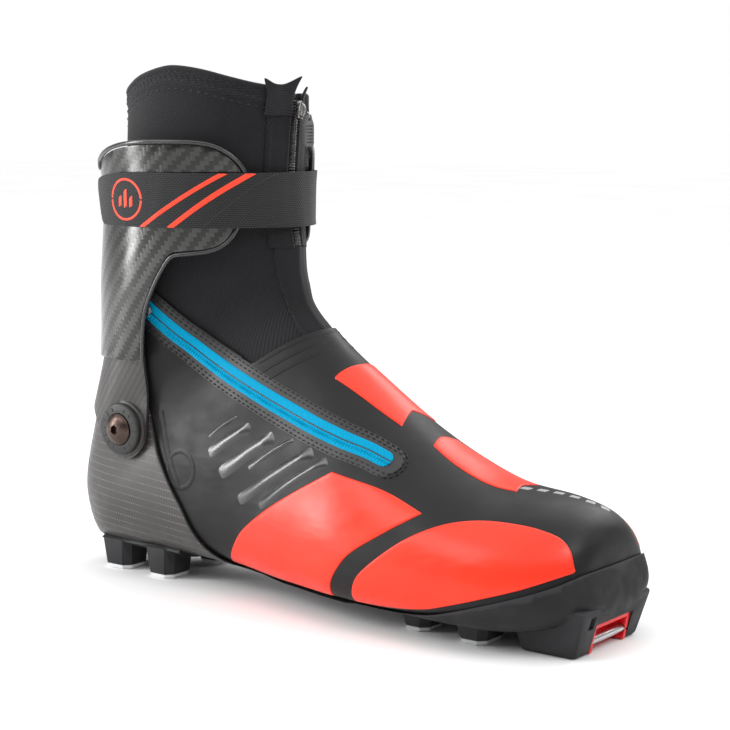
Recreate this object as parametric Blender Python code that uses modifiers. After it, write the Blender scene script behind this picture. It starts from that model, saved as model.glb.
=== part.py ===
"""Right cross country skate boot: carbon cuff on side pivots, zipped upper, gaiter and binding sole.

Lengths below are millimetres in the last frame: x from the heel to the toe, y to the medial
side, z up from the ground. The last step moves everything so that the origin is the middle
of the boot's bounding box at ground level.
"""

import math

import bmesh
import bpy
import numpy as np
from mathutils import Matrix, Vector

MM = 0.001
FRAME_X, FRAME_Y = 147.26, -1.885     # middle of the bounding box, in the last frame
RING = 28                         # points round one section
PIVOT_X, PIVOT_Z = 42.0, 77.0     # cuff hinge axis, parallel to Y
STRAP_Z = (178.0, 204.0)          # lower and upper edge of the cuff strap
STRAP_SPLIT = 70.0                # where the strap's free end starts to peel off
SHELL_T = 1.4                     # upper shell thickness, inward from the last surface
GAITER = (-3.1, -1.7)             # gaiter layer, inner and outer offset
CHASSIS = (0.3, 1.7)              # carbon chassis layer
YOKE = (2.4, 4.0)                 # lower carbon layer of the cuff
CUFF_T = 1.6                      # upper carbon layer of the cuff
BAR_X, BAR_Z, BAR_R = 293.5, 5.6, 2.0
COLLAR_Z = 168.0                  # below this height the gaiter folds, above it rides
TIP_T = 2.2                       # thickness of the hard tip under each lug

# Sections that fan from the sole line (back, bottom) to the instep line (front, top):
# v, back x z, front x z, half widths lateral and medial, mid y, widest at, squareness back, front
STATIONS = (
    (0.00, 298, 30, 297, 38, 8, 8, 4, 0.50, 2.2, 2.2),
    (0.03, 298, 22, 294, 50, 24, 22, 4, 0.42, 2.6, 2.2),
    (0.08, 293, 17, 286, 59, 35, 31, 3, 0.36, 3.0, 2.2),
    (0.15, 279, 13, 270, 64, 45, 39, 1, 0.32, 3.4, 2.2),
    (0.24, 252, 10, 245, 67.5, 51, 43, 0, 0.30, 3.6, 2.1),
    (0.34, 220, 9, 216, 78.5, 52, 44, 0, 0.28, 3.6, 2.0),
    (0.44, 182, 9, 190, 94, 50, 42, -1, 0.26, 3.6, 2.0),
    (0.53, 142, 10, 167, 110.5, 45, 38, -1, 0.27, 3.4, 2.0),
    (0.61, 100, 13, 148, 123.5, 41, 37, 0, 0.29, 3.2, 2.0),
    (0.67, 55, 14, 135, 135.5, 39, 37, 0, 0.30, 3.0, 2.0),
    (0.715, 7, 13, 127, 146.5, 37, 36, 0, 0.29, 2.6, 2.0),
    (0.75, -5, 34, 124, 157.5, 36, 35, 0, 0.29, 2.2, 2.0),
    (0.79, 0.5, 64, 122.5, 169.5, 38, 37, 0, 0.33, 2.1, 2.0),
    (0.84, 11, 106, 120, 184.5, 39.5, 37.5, 0, 0.40, 2.0, 2.0),
    (0.90, 15.5, 150, 119, 201.5, 41, 38, 0, 0.46, 2.0, 2.0),
    (0.95, 19.5, 198, 120, 220.5, 41, 38, 0, 0.50, 2.0, 2.0),
    (0.98, 22, 236, 121, 238, 42, 38.5, 0, 0.50, 2.0, 2.0),
    (1.00, 22.5, 262, 121, 262, 42, 38.5, 0, 0.50, 2.0, 2.0),
)
ROWS = (0, 0.025, 0.06, 0.10, 0.15, 0.20, 0.26, 0.32, 0.38, 0.44, 0.50, 0.56, 0.61, 0.655,
        0.69, 0.715, 0.75, 0.785, 0.82, 0.855, 0.89, 0.92, 0.95, 0.98, 1.0)

# Outlines seen from the side, x and z.
ZIP_LINE = ((54, 141.6), (60, 136.7), (67, 131), (75, 124.5), (85, 117), (98, 110), (116, 103),
            (135, 96), (154, 90), (173, 84.5), (188, 80.5), (200, 76))
COVER_BACK = ((101, 109.8), (108, 110.5), (116, 115), (123, 120), (129, 124), (136, 128), (150, 134))
SEAM = ((57, 82), (62, 68), (67, 59), (73, 50), (80, 41), (86, 31), (93, 22), (102, 14))
BUMPER = ((188, 10.5), (210, 11.5), (232, 14.5), (246, 18.5), (260, 23), (277, 28.5), (290, 33.5),
          (296, 37), (310, 41))
RIM = ((-20, 238), (15, 239.5), (35, 243.5), (55, 250), (74, 254), (84, 253.7), (95, 251.5),
       (110, 246.5), (122, 243.5), (140, 243))
RIM_MEDIAL = ((-24, 237.6), (14, 238.6), (36, 240), (55, 241), (75, 241.5), (95, 241.2),
              (144, 240.8))
CUFF_EDGE = ((20, 205), (40, 213), (60, 216.5), (90, 217), (100, 215.5), (106.5, 210.5),
             (109.5, 203), (108.5, 190), (105.5, 178), (102, 171.5), (96, 168.3), (87, 167), (79, 165.5),
             (73, 158),
             (67, 148), (62, 138), (59, 126), (57, 112))

MATERIALS = {
    "rubber": ((0.018, 0.018, 0.02), 0.55, 0.0),
    "tip": ((0.55, 0.56, 0.57), 0.4, 0.0),
    "pocket_red": ((0.72, 0.02, 0.02), 0.35, 0.0),
    "steel": ((0.62, 0.62, 0.62), 0.25, 1.0),
    "carbon": ((0.09, 0.085, 0.08), 0.3, 0.1),
    "carbon_matte": ((0.13, 0.12, 0.115), 0.45, 0.1),
    "shell_black": ((0.025, 0.025, 0.027), 0.42, 0.0),
    "panel_red": ((0.87, 0.11, 0.06), 0.35, 0.0),
    "gaiter_knit": ((0.015, 0.015, 0.017), 0.85, 0.0),
    "foam": ((0.08, 0.08, 0.085), 0.9, 0.0),
    "footbed": ((0.1, 0.11, 0.13), 0.85, 0.0),
    "board": ((0.2, 0.19, 0.17), 0.7, 0.0),
    "zip_blue": ((0.0, 0.33, 0.7), 0.4, 0.0),
    "zip_black": ((0.02, 0.02, 0.02), 0.45, 0.0),
    "zip_metal": ((0.42, 0.42, 0.43), 0.3, 1.0),
    "puller": ((0.12, 0.12, 0.13), 0.5, 0.0),
    "strap_web": ((0.07, 0.07, 0.075), 0.6, 0.0),
    "fastener": ((0.05, 0.05, 0.055), 0.9, 0.0),
    "lace": ((0.1, 0.1, 0.11), 0.8, 0.0),
    "dial": ((0.06, 0.055, 0.05), 0.4, 0.3),
    "bolt": ((0.36, 0.31, 0.27), 0.3, 1.0),
    "nylon": ((0.5, 0.49, 0.46), 0.5, 0.0),
}


# ---------------------------------------------------------------- scene and small helpers

for old in list(bpy.data.objects):
    bpy.data.objects.remove(old, do_unlink=True)
BOOT = bpy.data.collections.new("cross_country_boot")
CUTTERS = bpy.data.collections.new("cutters")
bpy.context.scene.collection.children.link(BOOT)
bpy.context.scene.collection.children.link(CUTTERS)
CUTTERS.hide_render = True


def material(slot, name):
    colour, rough, metal = MATERIALS[slot]
    made = bpy.data.materials.new(name + "_" + slot)
    made.use_nodes = True
    shader = made.node_tree.nodes["Principled BSDF"]
    shader.inputs["Base Color"].default_value = (*colour, 1.0)
    shader.inputs["Roughness"].default_value = rough
    shader.inputs["Metallic"].default_value = metal
    made.diffuse_color = (*colour, 1.0)
    return made


def node(name, mesh, slot):
    """A part: one object with its own material."""
    obj = bpy.data.objects.new(name, mesh)
    BOOT.objects.link(obj)
    mesh.materials.append(material(slot, name))
    return obj


def cutter(name, mesh):
    obj = bpy.data.objects.new("cut_" + name, mesh)
    obj.hide_render = True
    obj.display_type = "WIRE"
    CUTTERS.objects.link(obj)
    return obj


def combine(obj, other, operation):
    step = obj.modifiers.new(operation.lower(), "BOOLEAN")
    step.operation = operation
    step.solver = "EXACT"
    step.object = other
    return obj


def bevel(obj, width, segments=1, angle=40):
    step = obj.modifiers.new("bevel", "BEVEL")
    step.width = width * MM
    step.segments = segments
    step.limit_method = "ANGLE"
    step.angle_limit = math.radians(angle)
    return obj


def outward(mesh):
    work = bmesh.new()
    work.from_mesh(mesh)
    bmesh.ops.recalc_face_normals(work, faces=work.faces)
    work.to_mesh(mesh)
    work.free()
    return mesh


def mesh_from(name, points, faces):
    mesh = bpy.data.meshes.new(name)
    mesh.from_pydata([tuple(float(c) * MM for c in p) for p in points], [], faces)
    return outward(mesh)


# ---------------------------------------------------------------- the last surface

def smooth_rows(v):
    """Monotone cubic interpolation of the stations."""
    table = np.array(STATIONS, float)
    x, y = table[:, 0], table[:, 1:]
    h = np.diff(x)[:, None]
    d = np.diff(y, axis=0) / h
    slope = np.zeros_like(y)
    w1 = 2 * h[1:] + h[:-1]
    w2 = h[1:] + 2 * h[:-1]
    same = d[1:] * d[:-1] > 0
    safe = np.where(same, 1, 0)
    with np.errstate(divide="ignore", invalid="ignore"):
        mean = (w1 + w2) / (w1 / d[:-1] + w2 / d[1:])
    slope[1:-1] = np.where(safe == 1, mean, 0)
    slope[0], slope[-1] = d[0], d[-1]
    v = np.clip(np.atleast_1d(v), 0, 1)
    i = np.clip(np.searchsorted(x, v, side="right") - 1, 0, len(x) - 2)
    s = ((v - x[i]) / (x[i + 1] - x[i]))[:, None]
    hi = (x[i + 1] - x[i])[:, None]
    return ((2 * s**3 - 3 * s**2 + 1) * y[i] + (s**3 - 2 * s**2 + s) * hi * slope[i]
            + (3 * s**2 - 2 * s**3) * y[i + 1] + (s**3 - s**2) * hi * slope[i + 1])


def last_surface(v, turns):
    """Points of the last, one row for each v, one column for each angle round the section."""
    points = np.zeros((len(v), len(turns), 3))
    for i, row in enumerate(smooth_rows(v)):
        xb, zb, xt, zt, wide_lat, wide_med, yc, tw, pb, pt = row
        for j, turn in enumerate(turns):
            q = turn if turn <= math.pi else 2 * math.pi - turn
            c = math.cos(q)
            power = pb if c > 0 else pt
            s = abs(c) ** (2 / power)
            w = max(math.sin(q), 0) ** (2 / power)
            t = tw * (1 - s) if c > 0 else tw + (1 - tw) * s
            y = yc - wide_lat * w if turn <= math.pi else yc + wide_med * w
            points[i, j] = (xb + (xt - xb) * t, y, zb + (zt - zb) * t)
    return points


TURNS = np.linspace(0, 2 * math.pi, RING, endpoint=False)
LAST = last_surface(np.array(ROWS), TURNS)


def last_normals():
    along = np.gradient(LAST, axis=0)
    round_ = np.roll(LAST, -1, 1) - np.roll(LAST, 1, 1)
    normals = np.cross(round_, along)
    normals /= np.linalg.norm(normals, axis=2, keepdims=True)
    centre = LAST.mean(axis=1, keepdims=True)
    if ((LAST - centre) * normals).sum() < 0:
        normals = -normals
    return normals


NORMALS = last_normals()


def offset_grid(amount):
    """The last's grid moved along its normals by a length or by a function of (point, angle)."""
    if not callable(amount):
        return LAST + NORMALS * amount
    moved = LAST.copy()
    for i in range(LAST.shape[0]):
        for j in range(RING):
            angle = math.degrees(min(TURNS[j], 2 * math.pi - TURNS[j]))
            moved[i, j] += NORMALS[i, j] * amount(LAST[i, j], angle)
    return moved


def row_range(low, high):
    return [i for i, v in enumerate(ROWS) if low - 1e-6 <= v <= high + 1e-6]


def layer(name, low, high, inner, outer, columns=None, toe=False):
    """A closed slab between two offsets of the last. Columns None goes all round."""
    rows = row_range(low, high)
    ring = columns is None
    columns = list(range(RING)) if ring else [c % RING for c in columns]
    a, b = offset_grid(outer), offset_grid(inner)
    wide, tall = len(columns), len(rows)
    points = [a[i, j] for i in rows for j in columns] + [b[i, j] for i in rows for j in columns]
    back = wide * tall
    faces = []

    def at(i, j):
        return i * wide + j % wide

    def both(p, q, r):
        faces.append((p, q, r))
        faces.append((p + back, r + back, q + back))

    for i in range(tall - 1):
        for j in range(wide if ring else wide - 1):
            both(at(i, j), at(i, j + 1), at(i + 1, j + 1))
            both(at(i, j), at(i + 1, j + 1), at(i + 1, j))
    ends = [] if toe else [(at(0, j), at(0, j + 1)) for j in range(wide if ring else wide - 1)]
    ends += [(at(tall - 1, j + 1), at(tall - 1, j)) for j in range(wide if ring else wide - 1)]
    if not ring:
        ends += [(at(i + 1, 0), at(i, 0)) for i in range(tall - 1)]
        ends += [(at(i, wide - 1), at(i + 1, wide - 1)) for i in range(tall - 1)]
    for p, q in ends:
        faces.append((q, p, p + back))
        faces.append((q, p + back, q + back))
    if toe:
        middle = np.array(points[:wide]).mean(axis=0)
        points.append(middle)
        points.append(np.array(points[back:back + wide]).mean(axis=0))
        for j in range(wide):
            faces.append((len(points) - 2, at(0, j + 1), at(0, j)))
            faces.append((len(points) - 1, at(0, j) + back, at(0, j + 1) + back))
    return mesh_from(name, points, faces)


def last_solid(name, amount, low=0.0, high=1.0):
    """The last offset by amount, as one solid, to trim pieces that fit round it."""
    grid = offset_grid(amount)
    rows = row_range(low, high)
    points = [grid[i, j] for i in rows for j in range(RING)]
    faces = []
    for i in range(len(rows) - 1):
        for j in range(RING):
            p, q = i * RING + j, i * RING + (j + 1) % RING
            faces.append((p, q, q + RING))
            faces.append((p, q + RING, p + RING))
    for start, step in ((0, -1), ((len(rows) - 1) * RING, 1)):
        loop = [start + j for j in range(RING)]
        points.append(np.mean([points[k] for k in loop], axis=0))
        for j in range(RING):
            faces.append((len(points) - 1, loop[j], loop[(j + 1) % RING]))
    return cutter(name, mesh_from(name, points, faces))


# ---------------------------------------------------------------- cutters and simple solids

def side_prism(name, outline, low=-90.0, high=90.0):
    """A prism through the boot along Y from an outline of (x, z)."""
    n = len(outline)
    points = [(x, low, z) for x, z in outline] + [(x, high, z) for x, z in outline]
    faces = [tuple(range(n)), tuple(range(2 * n - 1, n - 1, -1))]
    faces += [(i, (i + 1) % n, (i + 1) % n + n, i + n) for i in range(n)]
    return cutter(name, mesh_from(name, points, faces))


def top_prism(name, outline, low, high):
    """A prism along Z from an outline of (x, y)."""
    n = len(outline)
    points = [(x, y, low) for x, y in outline] + [(x, y, high) for x, y in outline]
    faces = [tuple(range(n)), tuple(range(2 * n - 1, n - 1, -1))]
    faces += [(i, (i + 1) % n, (i + 1) % n + n, i + n) for i in range(n)]
    return cutter(name, mesh_from(name, points, faces))


def box_mesh(name, low, high):
    mesh = bpy.data.meshes.new(name)
    work = bmesh.new()
    bmesh.ops.create_cube(work, size=1.0)
    size = Vector(high) - Vector(low)
    middle = (Vector(high) + Vector(low)) / 2
    for vert in work.verts:
        vert.co = Vector(a * b for a, b in zip(vert.co, size)) + middle
        vert.co *= MM
    work.to_mesh(mesh)
    work.free()
    return mesh


def taper_box(name, low, high, shrink):
    """A box whose bottom face is smaller by shrink on each side."""
    mesh = box_mesh(name, low, high)
    middle = (Vector(high) + Vector(low)) / 2 * MM
    for vert in mesh.vertices:
        if vert.co.z < middle.z:
            vert.co.x -= math.copysign(shrink * MM, vert.co.x - middle.x)
            vert.co.y -= math.copysign(shrink * MM, vert.co.y - middle.y)
    return mesh


def rod_mesh(name, start, end, radius, sides=20):
    mesh = bpy.data.meshes.new(name)
    start, end = Vector(start) * MM, Vector(end) * MM
    turn = (end - start).to_track_quat("Z", "Y").to_matrix().to_4x4()
    work = bmesh.new()
    bmesh.ops.create_cone(work, cap_ends=True, segments=sides, radius1=radius * MM,
                          radius2=radius * MM, depth=(end - start).length,
                          matrix=Matrix.Translation((start + end) / 2) @ turn)
    work.to_mesh(mesh)
    work.free()
    return mesh


def turned(name, profile, slot, y, side, closed=True, sides=20):
    """A turned piece on the cuff's hinge axis. Profile is (radius, height), height outwards."""
    mesh = bpy.data.meshes.new(name)
    points = [(r * MM, 0, h * MM) for r, h in profile]
    edges = [(i, i + 1) for i in range(len(points) - 1)]
    if closed:
        edges.append((len(points) - 1, 0))
    mesh.from_pydata(points, edges, [])
    obj = node(name, mesh, slot)
    step = obj.modifiers.new("turn", "SCREW")
    step.steps = step.render_steps = sides
    step.use_merge_vertices = True
    step.merge_threshold = 0.00001
    obj.location = (PIVOT_X * MM, y * MM, PIVOT_Z * MM)
    obj.rotation_euler = (math.radians(90 if side < 0 else -90), 0, 0)
    return obj


def band(line, half, trim=0.0):
    """Outline of a strip that follows a line of (x, z), half its width to each side."""
    pts = [Vector(p) for p in line]
    left, right = [], []
    for i, p in enumerate(pts):
        before, after = pts[max(i - 1, 0)], pts[min(i + 1, len(pts) - 1)]
        along = (after - before).normalized()
        across = Vector((-along.y, along.x)) * half
        end = along * trim if i == len(pts) - 1 else -along * trim if i == 0 else along * 0
        left.append(tuple(p + across + end))
        right.append(tuple(p - across + end))
    return left + right[::-1]


def on_last(x, z, side=-1, amount=0.0):
    """The point of the last's side surface at (x, z), moved out by amount, and its normal."""
    half = range(0, RING // 2 + 1) if side < 0 else [(-j) % RING for j in range(RING // 2 + 1)]
    half = list(half)
    best = None
    for i in range(len(ROWS) - 1):
        for a, b in zip(half[:-1], half[1:]):
            quad = (LAST[i, a], LAST[i, b], LAST[i + 1, b], LAST[i + 1, a])
            turn = (NORMALS[i, a], NORMALS[i, b], NORMALS[i + 1, b], NORMALS[i + 1, a])
            for tri in ((0, 1, 2), (0, 2, 3)):
                p, q, r = (quad[k] for k in tri)
                m = np.array([[q[0] - p[0], r[0] - p[0]], [q[2] - p[2], r[2] - p[2]]])
                if abs(np.linalg.det(m)) < 1e-9:
                    continue
                s, t = np.linalg.solve(m, np.array([x - p[0], z - p[2]]))
                if s >= -1e-6 and t >= -1e-6 and s + t <= 1 + 1e-6:
                    at = p + s * (q - p) + t * (r - p)
                    n0, n1, n2 = (turn[k] for k in tri)
                    n = n0 + s * (n1 - n0) + t * (n2 - n0)
                    n = n / np.linalg.norm(n)
                    if best is None or at[1] * side > best[0][1] * side:
                        best = (at, n)
    at, n = best
    return at + n * amount, n


def carry(name, at, pieces):
    """An empty on a joint's axis that carries the pieces which move about it."""
    empty = bpy.data.objects.new(name, None)
    empty.empty_display_size = 0.01
    empty.location = Vector(at) * MM
    BOOT.objects.link(empty)
    bpy.context.view_layer.update()
    for piece in pieces:
        piece.parent = empty
        piece.matrix_parent_inverse = empty.matrix_world.inverted()
    return empty


# ---------------------------------------------------------------- sole and binding bar

FOREFOOT_LUGS = ((205, 219, -31, -14), (205, 219, 13, 27), (237, 252, -34, -15), (237, 252, 14, 30))
HEEL_LUGS = ((12, 29, -26, -9), (12, 29, 9, 25), (44, 60, -28, -10), (44, 60, 10, 27))


def lug_block(name, lug, top):
    x0, x1, y0, y1 = lug
    return taper_box(name, (x0 - 1.5, y0 - 1.5, TIP_T + 0.3), (x1 + 1.5, y1 + 1.5, top), 1.3)


def lug_tip(name, lug):
    x0, x1, y0, y1 = lug
    obj = node(name, taper_box(name, (x0, y0, 0.0), (x1, y1, TIP_T), 0.8), "tip")
    return obj


def build_forefoot_sole(foot):
    body = node("forefoot_outsole", layer("forefoot_outsole", 0.0, 0.44, 0.3, 3.2, toe=True),
                "rubber")
    above = side_prism("above_bumper", list(BUMPER) + [(330, 60), (330, 120), (150, 120),
                                                     (150, 9.5)])
    combine(body, above, "DIFFERENCE")
    combine(body, cutter("toe_block", toe_block_mesh()), "UNION")
    for k, lug in enumerate(FOREFOOT_LUGS):
        combine(body, cutter("fore_lug_%d" % k, lug_block("lug", lug, 13)), "UNION")
    combine(body, foot, "DIFFERENCE")
    pocket = box_mesh("pocket", (284.4, -16.0, -5.0), (320.0, 16.0, 13.8))
    combine(body, cutter("bar_pocket", pocket), "DIFFERENCE")
    hole = rod_mesh("bar_hole", (BAR_X, -20.5, BAR_Z), (BAR_X, 20.5, BAR_Z), BAR_R + 0.12)
    combine(body, cutter("bar_hole", hole), "DIFFERENCE")
    for k, y in enumerate((-6.0, 6.0)):
        groove = box_mesh("groove", (200, y - 1.6, -4), (279, y + 1.6, 4.6 + 1.6))
        combine(body, cutter("sole_groove_%d" % k, groove), "DIFFERENCE")
    return body


def toe_block_mesh():
    """Block under the toe that holds the binding bar, narrower at the ground."""
    mesh = taper_box("toe_block", (262.0, -30.5, 0.0), (301.0, 29.0, 22.0), 2.6)
    for vert in mesh.vertices:
        if vert.co.z < 10 * MM and vert.co.x > 280 * MM:
            vert.co.x -= 4.0 * MM
        if vert.co.z < 10 * MM and vert.co.x < 270 * MM:
            vert.co.x += 2.5 * MM
    return mesh


def build_bar():
    insert = node("bar_pocket_insert",
                  box_mesh("bar_pocket_insert", (284.7, -15.7, 0.6), (297.2, 15.7, 13.5)),
                  "pocket_red")
    inner = box_mesh("insert_inside", (287.0, -13.4, -6.0), (330.0, 13.4, 11.4))
    combine(insert, cutter("insert_inside", inner), "DIFFERENCE")
    hole = rod_mesh("insert_hole", (BAR_X, -20.5, BAR_Z), (BAR_X, 20.5, BAR_Z), BAR_R + 0.12)
    combine(insert, cutter("insert_hole", hole), "DIFFERENCE")
    bar = node("binding_bar", rod_mesh("binding_bar", (BAR_X, -20.2, BAR_Z),
                                      (BAR_X, 20.2, BAR_Z), BAR_R - 0.02), "steel")
    return insert, bar


def build_heel_sole():
    body = node("heel_outsole", layer("heel_outsole", 0.61, 0.75, 2.0, 4.4,
                                      columns=range(-4, 5)), "rubber")
    under = side_prism("heel_plate", [(2, 30), (-2, 22), (4, 5), (68, 5), (68, 22), (60, 30)])
    combine(body, under, "INTERSECT")
    for k, lug in enumerate(HEEL_LUGS):
        combine(body, cutter("heel_lug_%d" % k, lug_block("lug", lug, 16)), "UNION")
    combine(body, last_solid("heel_clearance", 2.0, 0.44, 1.0), "DIFFERENCE")
    return body


# ---------------------------------------------------------------- chassis, board and footbed

def pivot_hole(obj, radius, side):
    low, high = (-80.0, -20.0) if side < 0 else (20.0, 80.0)
    hole = rod_mesh("hole", (PIVOT_X, low, PIVOT_Z), (PIVOT_X, high, PIVOT_Z), radius)
    combine(obj, cutter("pivot_hole_" + obj.name, hole), "DIFFERENCE")


def build_chassis():
    body = node("carbon_chassis", layer("carbon_chassis", 0.38, 0.89, *CHASSIS), "carbon_matte")
    shape = [(-30, 78), (14, 79), (28, 84), (36, 90), (48, 91), (55, 88)] + list(SEAM)
    shape += [(120, 11.8), (150, 11.2), (181.5, 10.6), (181.5, -5), (-30, -5)]
    combine(body, side_prism("chassis_outline", shape), "INTERSECT")
    pivot_hole(body, 4.4, -1)
    pivot_hole(body, 4.4, 1)
    return body


def build_footbed():
    cols = range(-3, 4)
    board = node("lasting_board", layer("lasting_board", 0.06, 0.69, -3.3, -1.8, columns=cols),
                 "board")
    insole = node("insole", layer("insole", 0.06, 0.69, -7.2, -3.6, columns=cols), "footbed")
    return board, insole


# ---------------------------------------------------------------- upper

def shell_outline():
    zipped = list(ZIP_LINE)
    return ([(-40, 78), (14, 79), (30, 88), (50, 94), (55, 106), (53, 138)] + zipped
            + [(204, 78), (210, 120), (330, 120), (330, -5), (-40, -5)])


def build_upper():
    shell = node("upper_shell", layer("upper_shell", 0.0, 0.92, -SHELL_T, 0.0, toe=True),
                 "shell_black")
    combine(shell, side_prism("shell_outline", shell_outline()), "INTERSECT")
    pivot_hole(shell, 4.4, -1)
    pivot_hole(shell, 4.4, 1)
    return shell


def build_cover():
    low = band(ZIP_LINE, 0.35)[:len(ZIP_LINE)]
    start = [p for p in low if p[0] > 105]
    outline = list(COVER_BACK) + [(203.6 + 6, 134), (203.6, 78.4)] + start[::-1]
    cover = node("lace_cover", layer("lace_cover", 0.32, 0.75, -SHELL_T, 0.0), "shell_black")
    combine(cover, side_prism("cover_outline", outline), "INTERSECT")
    return cover


def panel(name, outline, low, high, side, amount=(0.3, 0.8)):
    cols = range(1, RING // 2) if side < 0 else range(RING // 2 + 1, RING)
    obj = node(name, layer(name, low, high, *amount, columns=cols), "panel_red")
    edges = (-90.0, 0.0) if side < 0 else (0.0, 90.0)
    combine(obj, side_prism(name + "_outline", outline, *edges), "INTERSECT")
    return obj


FRONT_PANEL = ((190, 13.5), (195, 26), (203, 34), (218, 45.5), (230, 52), (241, 55.5), (255, 57),
               (272, 56), (284, 52.5), (290, 47), (293.5, 38.2), (290, 36.8), (277, 31.6), (260, 26),
               (246, 21.6), (232, 17.6), (210, 14.4))
MID_PANEL = ((104, 16.5), (112, 26), (120, 36), (134, 47), (151, 57.5), (174, 70.5), (201, 65.5),
             (224, 57.5), (207, 47), (190, 35.5), (181, 24), (177, 13.6), (150, 13.9), (120, 14.8))
LACE_PANEL = ((157, -18), (166, -17.5), (180, -16), (193.5, -14), (189, 0), (193.5, 14), (180, 16),
              (166, 17.5), (157, 18), (161, 0))
TOP_PANEL = ((208, -10), (222, -12), (240, -12), (253, -9.5), (250, 0), (253, 9.5), (240, 12),
             (222, 12), (208, 10), (205.5, 0))


def build_panels():
    made = []
    for side, word in ((-1, "lateral"), (1, "medial")):
        made.append(panel("front_panel_" + word, FRONT_PANEL, 0.0, 0.50, side))
        made.append(panel("quarter_panel_" + word, MID_PANEL, 0.26, 0.69, side))
    for name, outline, low, high in (("lace_panel", LACE_PANEL, 0.32, 0.655),
                                     ("toe_panel", TOP_PANEL, 0.15, 0.44)):
        obj = node(name, layer(name, low, high, 0.3, 0.8, columns=range(9, 20)), "panel_red")
        combine(obj, top_prism(name + "_outline", outline, 30, 160), "INTERSECT")
        made.append(obj)
    return made


def build_side_zip():
    cols = range(4, RING // 2 + 1)
    made = []
    for name, half, amount, slot in (("side_zip_tape", 5.2, (0.3, 0.9), "zip_blue"),
                                     ("side_zip_coil", 1.2, (1.2, 1.8), "zip_black")):
        obj = node(name, layer(name, 0.32, 0.95, *amount, columns=cols), slot)
        line = ZIP_LINE[1:] if name.endswith("coil") else ZIP_LINE
        shape = side_prism(name + "_outline", band(line, half, 2.0 if half > 3 else 0.0), -90, 0)
        combine(obj, shape, "INTERSECT")
        made.append(obj)
    return made


# ---------------------------------------------------------------- parts under the cover

def build_lacing():
    tongue = node("tongue", layer("tongue", 0.32, 0.75, -9.0, -5.6, columns=range(10, 19)), "foam")
    facings = []
    for word, cols in (("lateral", range(9, 13)), ("medial", range(16, 20))):
        name = "lace_facing_" + word
        facings.append(node(name, layer(name, 0.38, 0.56, -5.2, -4.4, columns=cols), "strap_web"))
    path = []
    levels = np.linspace(0.385, 0.575, 8)
    for k, v in enumerate(levels):
        turn = math.radians(180 + (38 if k % 2 else -38))
        for a in ((turn - 0.02, turn + 0.02) if k % 2 else (turn + 0.02, turn - 0.02)):
            path.append((v + (0.004 if a != turn else 0), a))
    lace = tube_on_last("speed_lace", path, -2.7, 0.85, "lace")
    lock = node("lace_lock", layer("lace_lock", 0.61, 0.655, -4.6, -3.4, columns=range(12, 17)),
                "zip_black")
    return tongue, facings, lace, lock


def tube_on_last(name, path, amount, radius, slot):
    """A round cord that follows (v, angle) points at an offset from the last."""
    curve = bpy.data.curves.new(name, "CURVE")
    curve.dimensions = "3D"
    curve.bevel_depth = radius * MM
    curve.bevel_resolution = 2
    curve.use_fill_caps = True
    points = []
    for (v0, a0), (v1, a1) in zip(path[:-1], path[1:]):
        steps = 4 if abs(a1 - a0) > 0.2 else 1
        for k in range(steps):
            points.append((v0 + (v1 - v0) * k / steps, a0 + (a1 - a0) * k / steps))
    points.append(path[-1])
    spline = curve.splines.new("POLY")
    spline.points.add(len(points) - 1)
    for k, (v, a) in enumerate(points):
        near = last_surface(np.array([v - 0.004, v + 0.004]), [a - 0.03, a + 0.03])
        middle = near.mean(axis=(0, 1))
        normal = np.cross(near[0, 1] - near[1, 0], near[1, 1] - near[0, 0])
        normal /= np.linalg.norm(normal)
        centre = last_surface(np.array([v]), TURNS).mean(axis=(0, 1))
        if normal @ (middle - centre) < 0:
            normal = -normal
        spline.points[k].co = (*((middle + normal * amount) * MM), 1.0)
    obj = bpy.data.objects.new(name, curve)
    BOOT.objects.link(obj)
    curve.materials.append(material(slot, name))
    return obj


def build_liners():
    heel = node("heel_liner", layer("heel_liner", 0.50, 0.89, -5.6, -3.5,
                                    columns=range(-10, 11)), "foam")
    shape = [(-40, 24), (8, 24), (60, 25), (110, 24), (118, 40), (112, 70), (98, 88), (60, 92),
             (-40, 88)]
    combine(heel, side_prism("heel_liner_outline", shape), "INTERSECT")
    pivot_hole(heel, 8.6, -1)
    pivot_hole(heel, 8.6, 1)
    cuff = node("cuff_liner", layer("cuff_liner", 0.785, 1.0, -6.0, -3.5, columns=range(-12, 13)),
                "foam")
    combine(cuff, side_prism("cuff_liner_outline", [(-40, COLLAR_Z + 1), (160, COLLAR_Z + 1),
                                                    (160, 233), (-40, 228)]), "INTERSECT")
    return heel, cuff


# ---------------------------------------------------------------- gaiter and front zip

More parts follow.
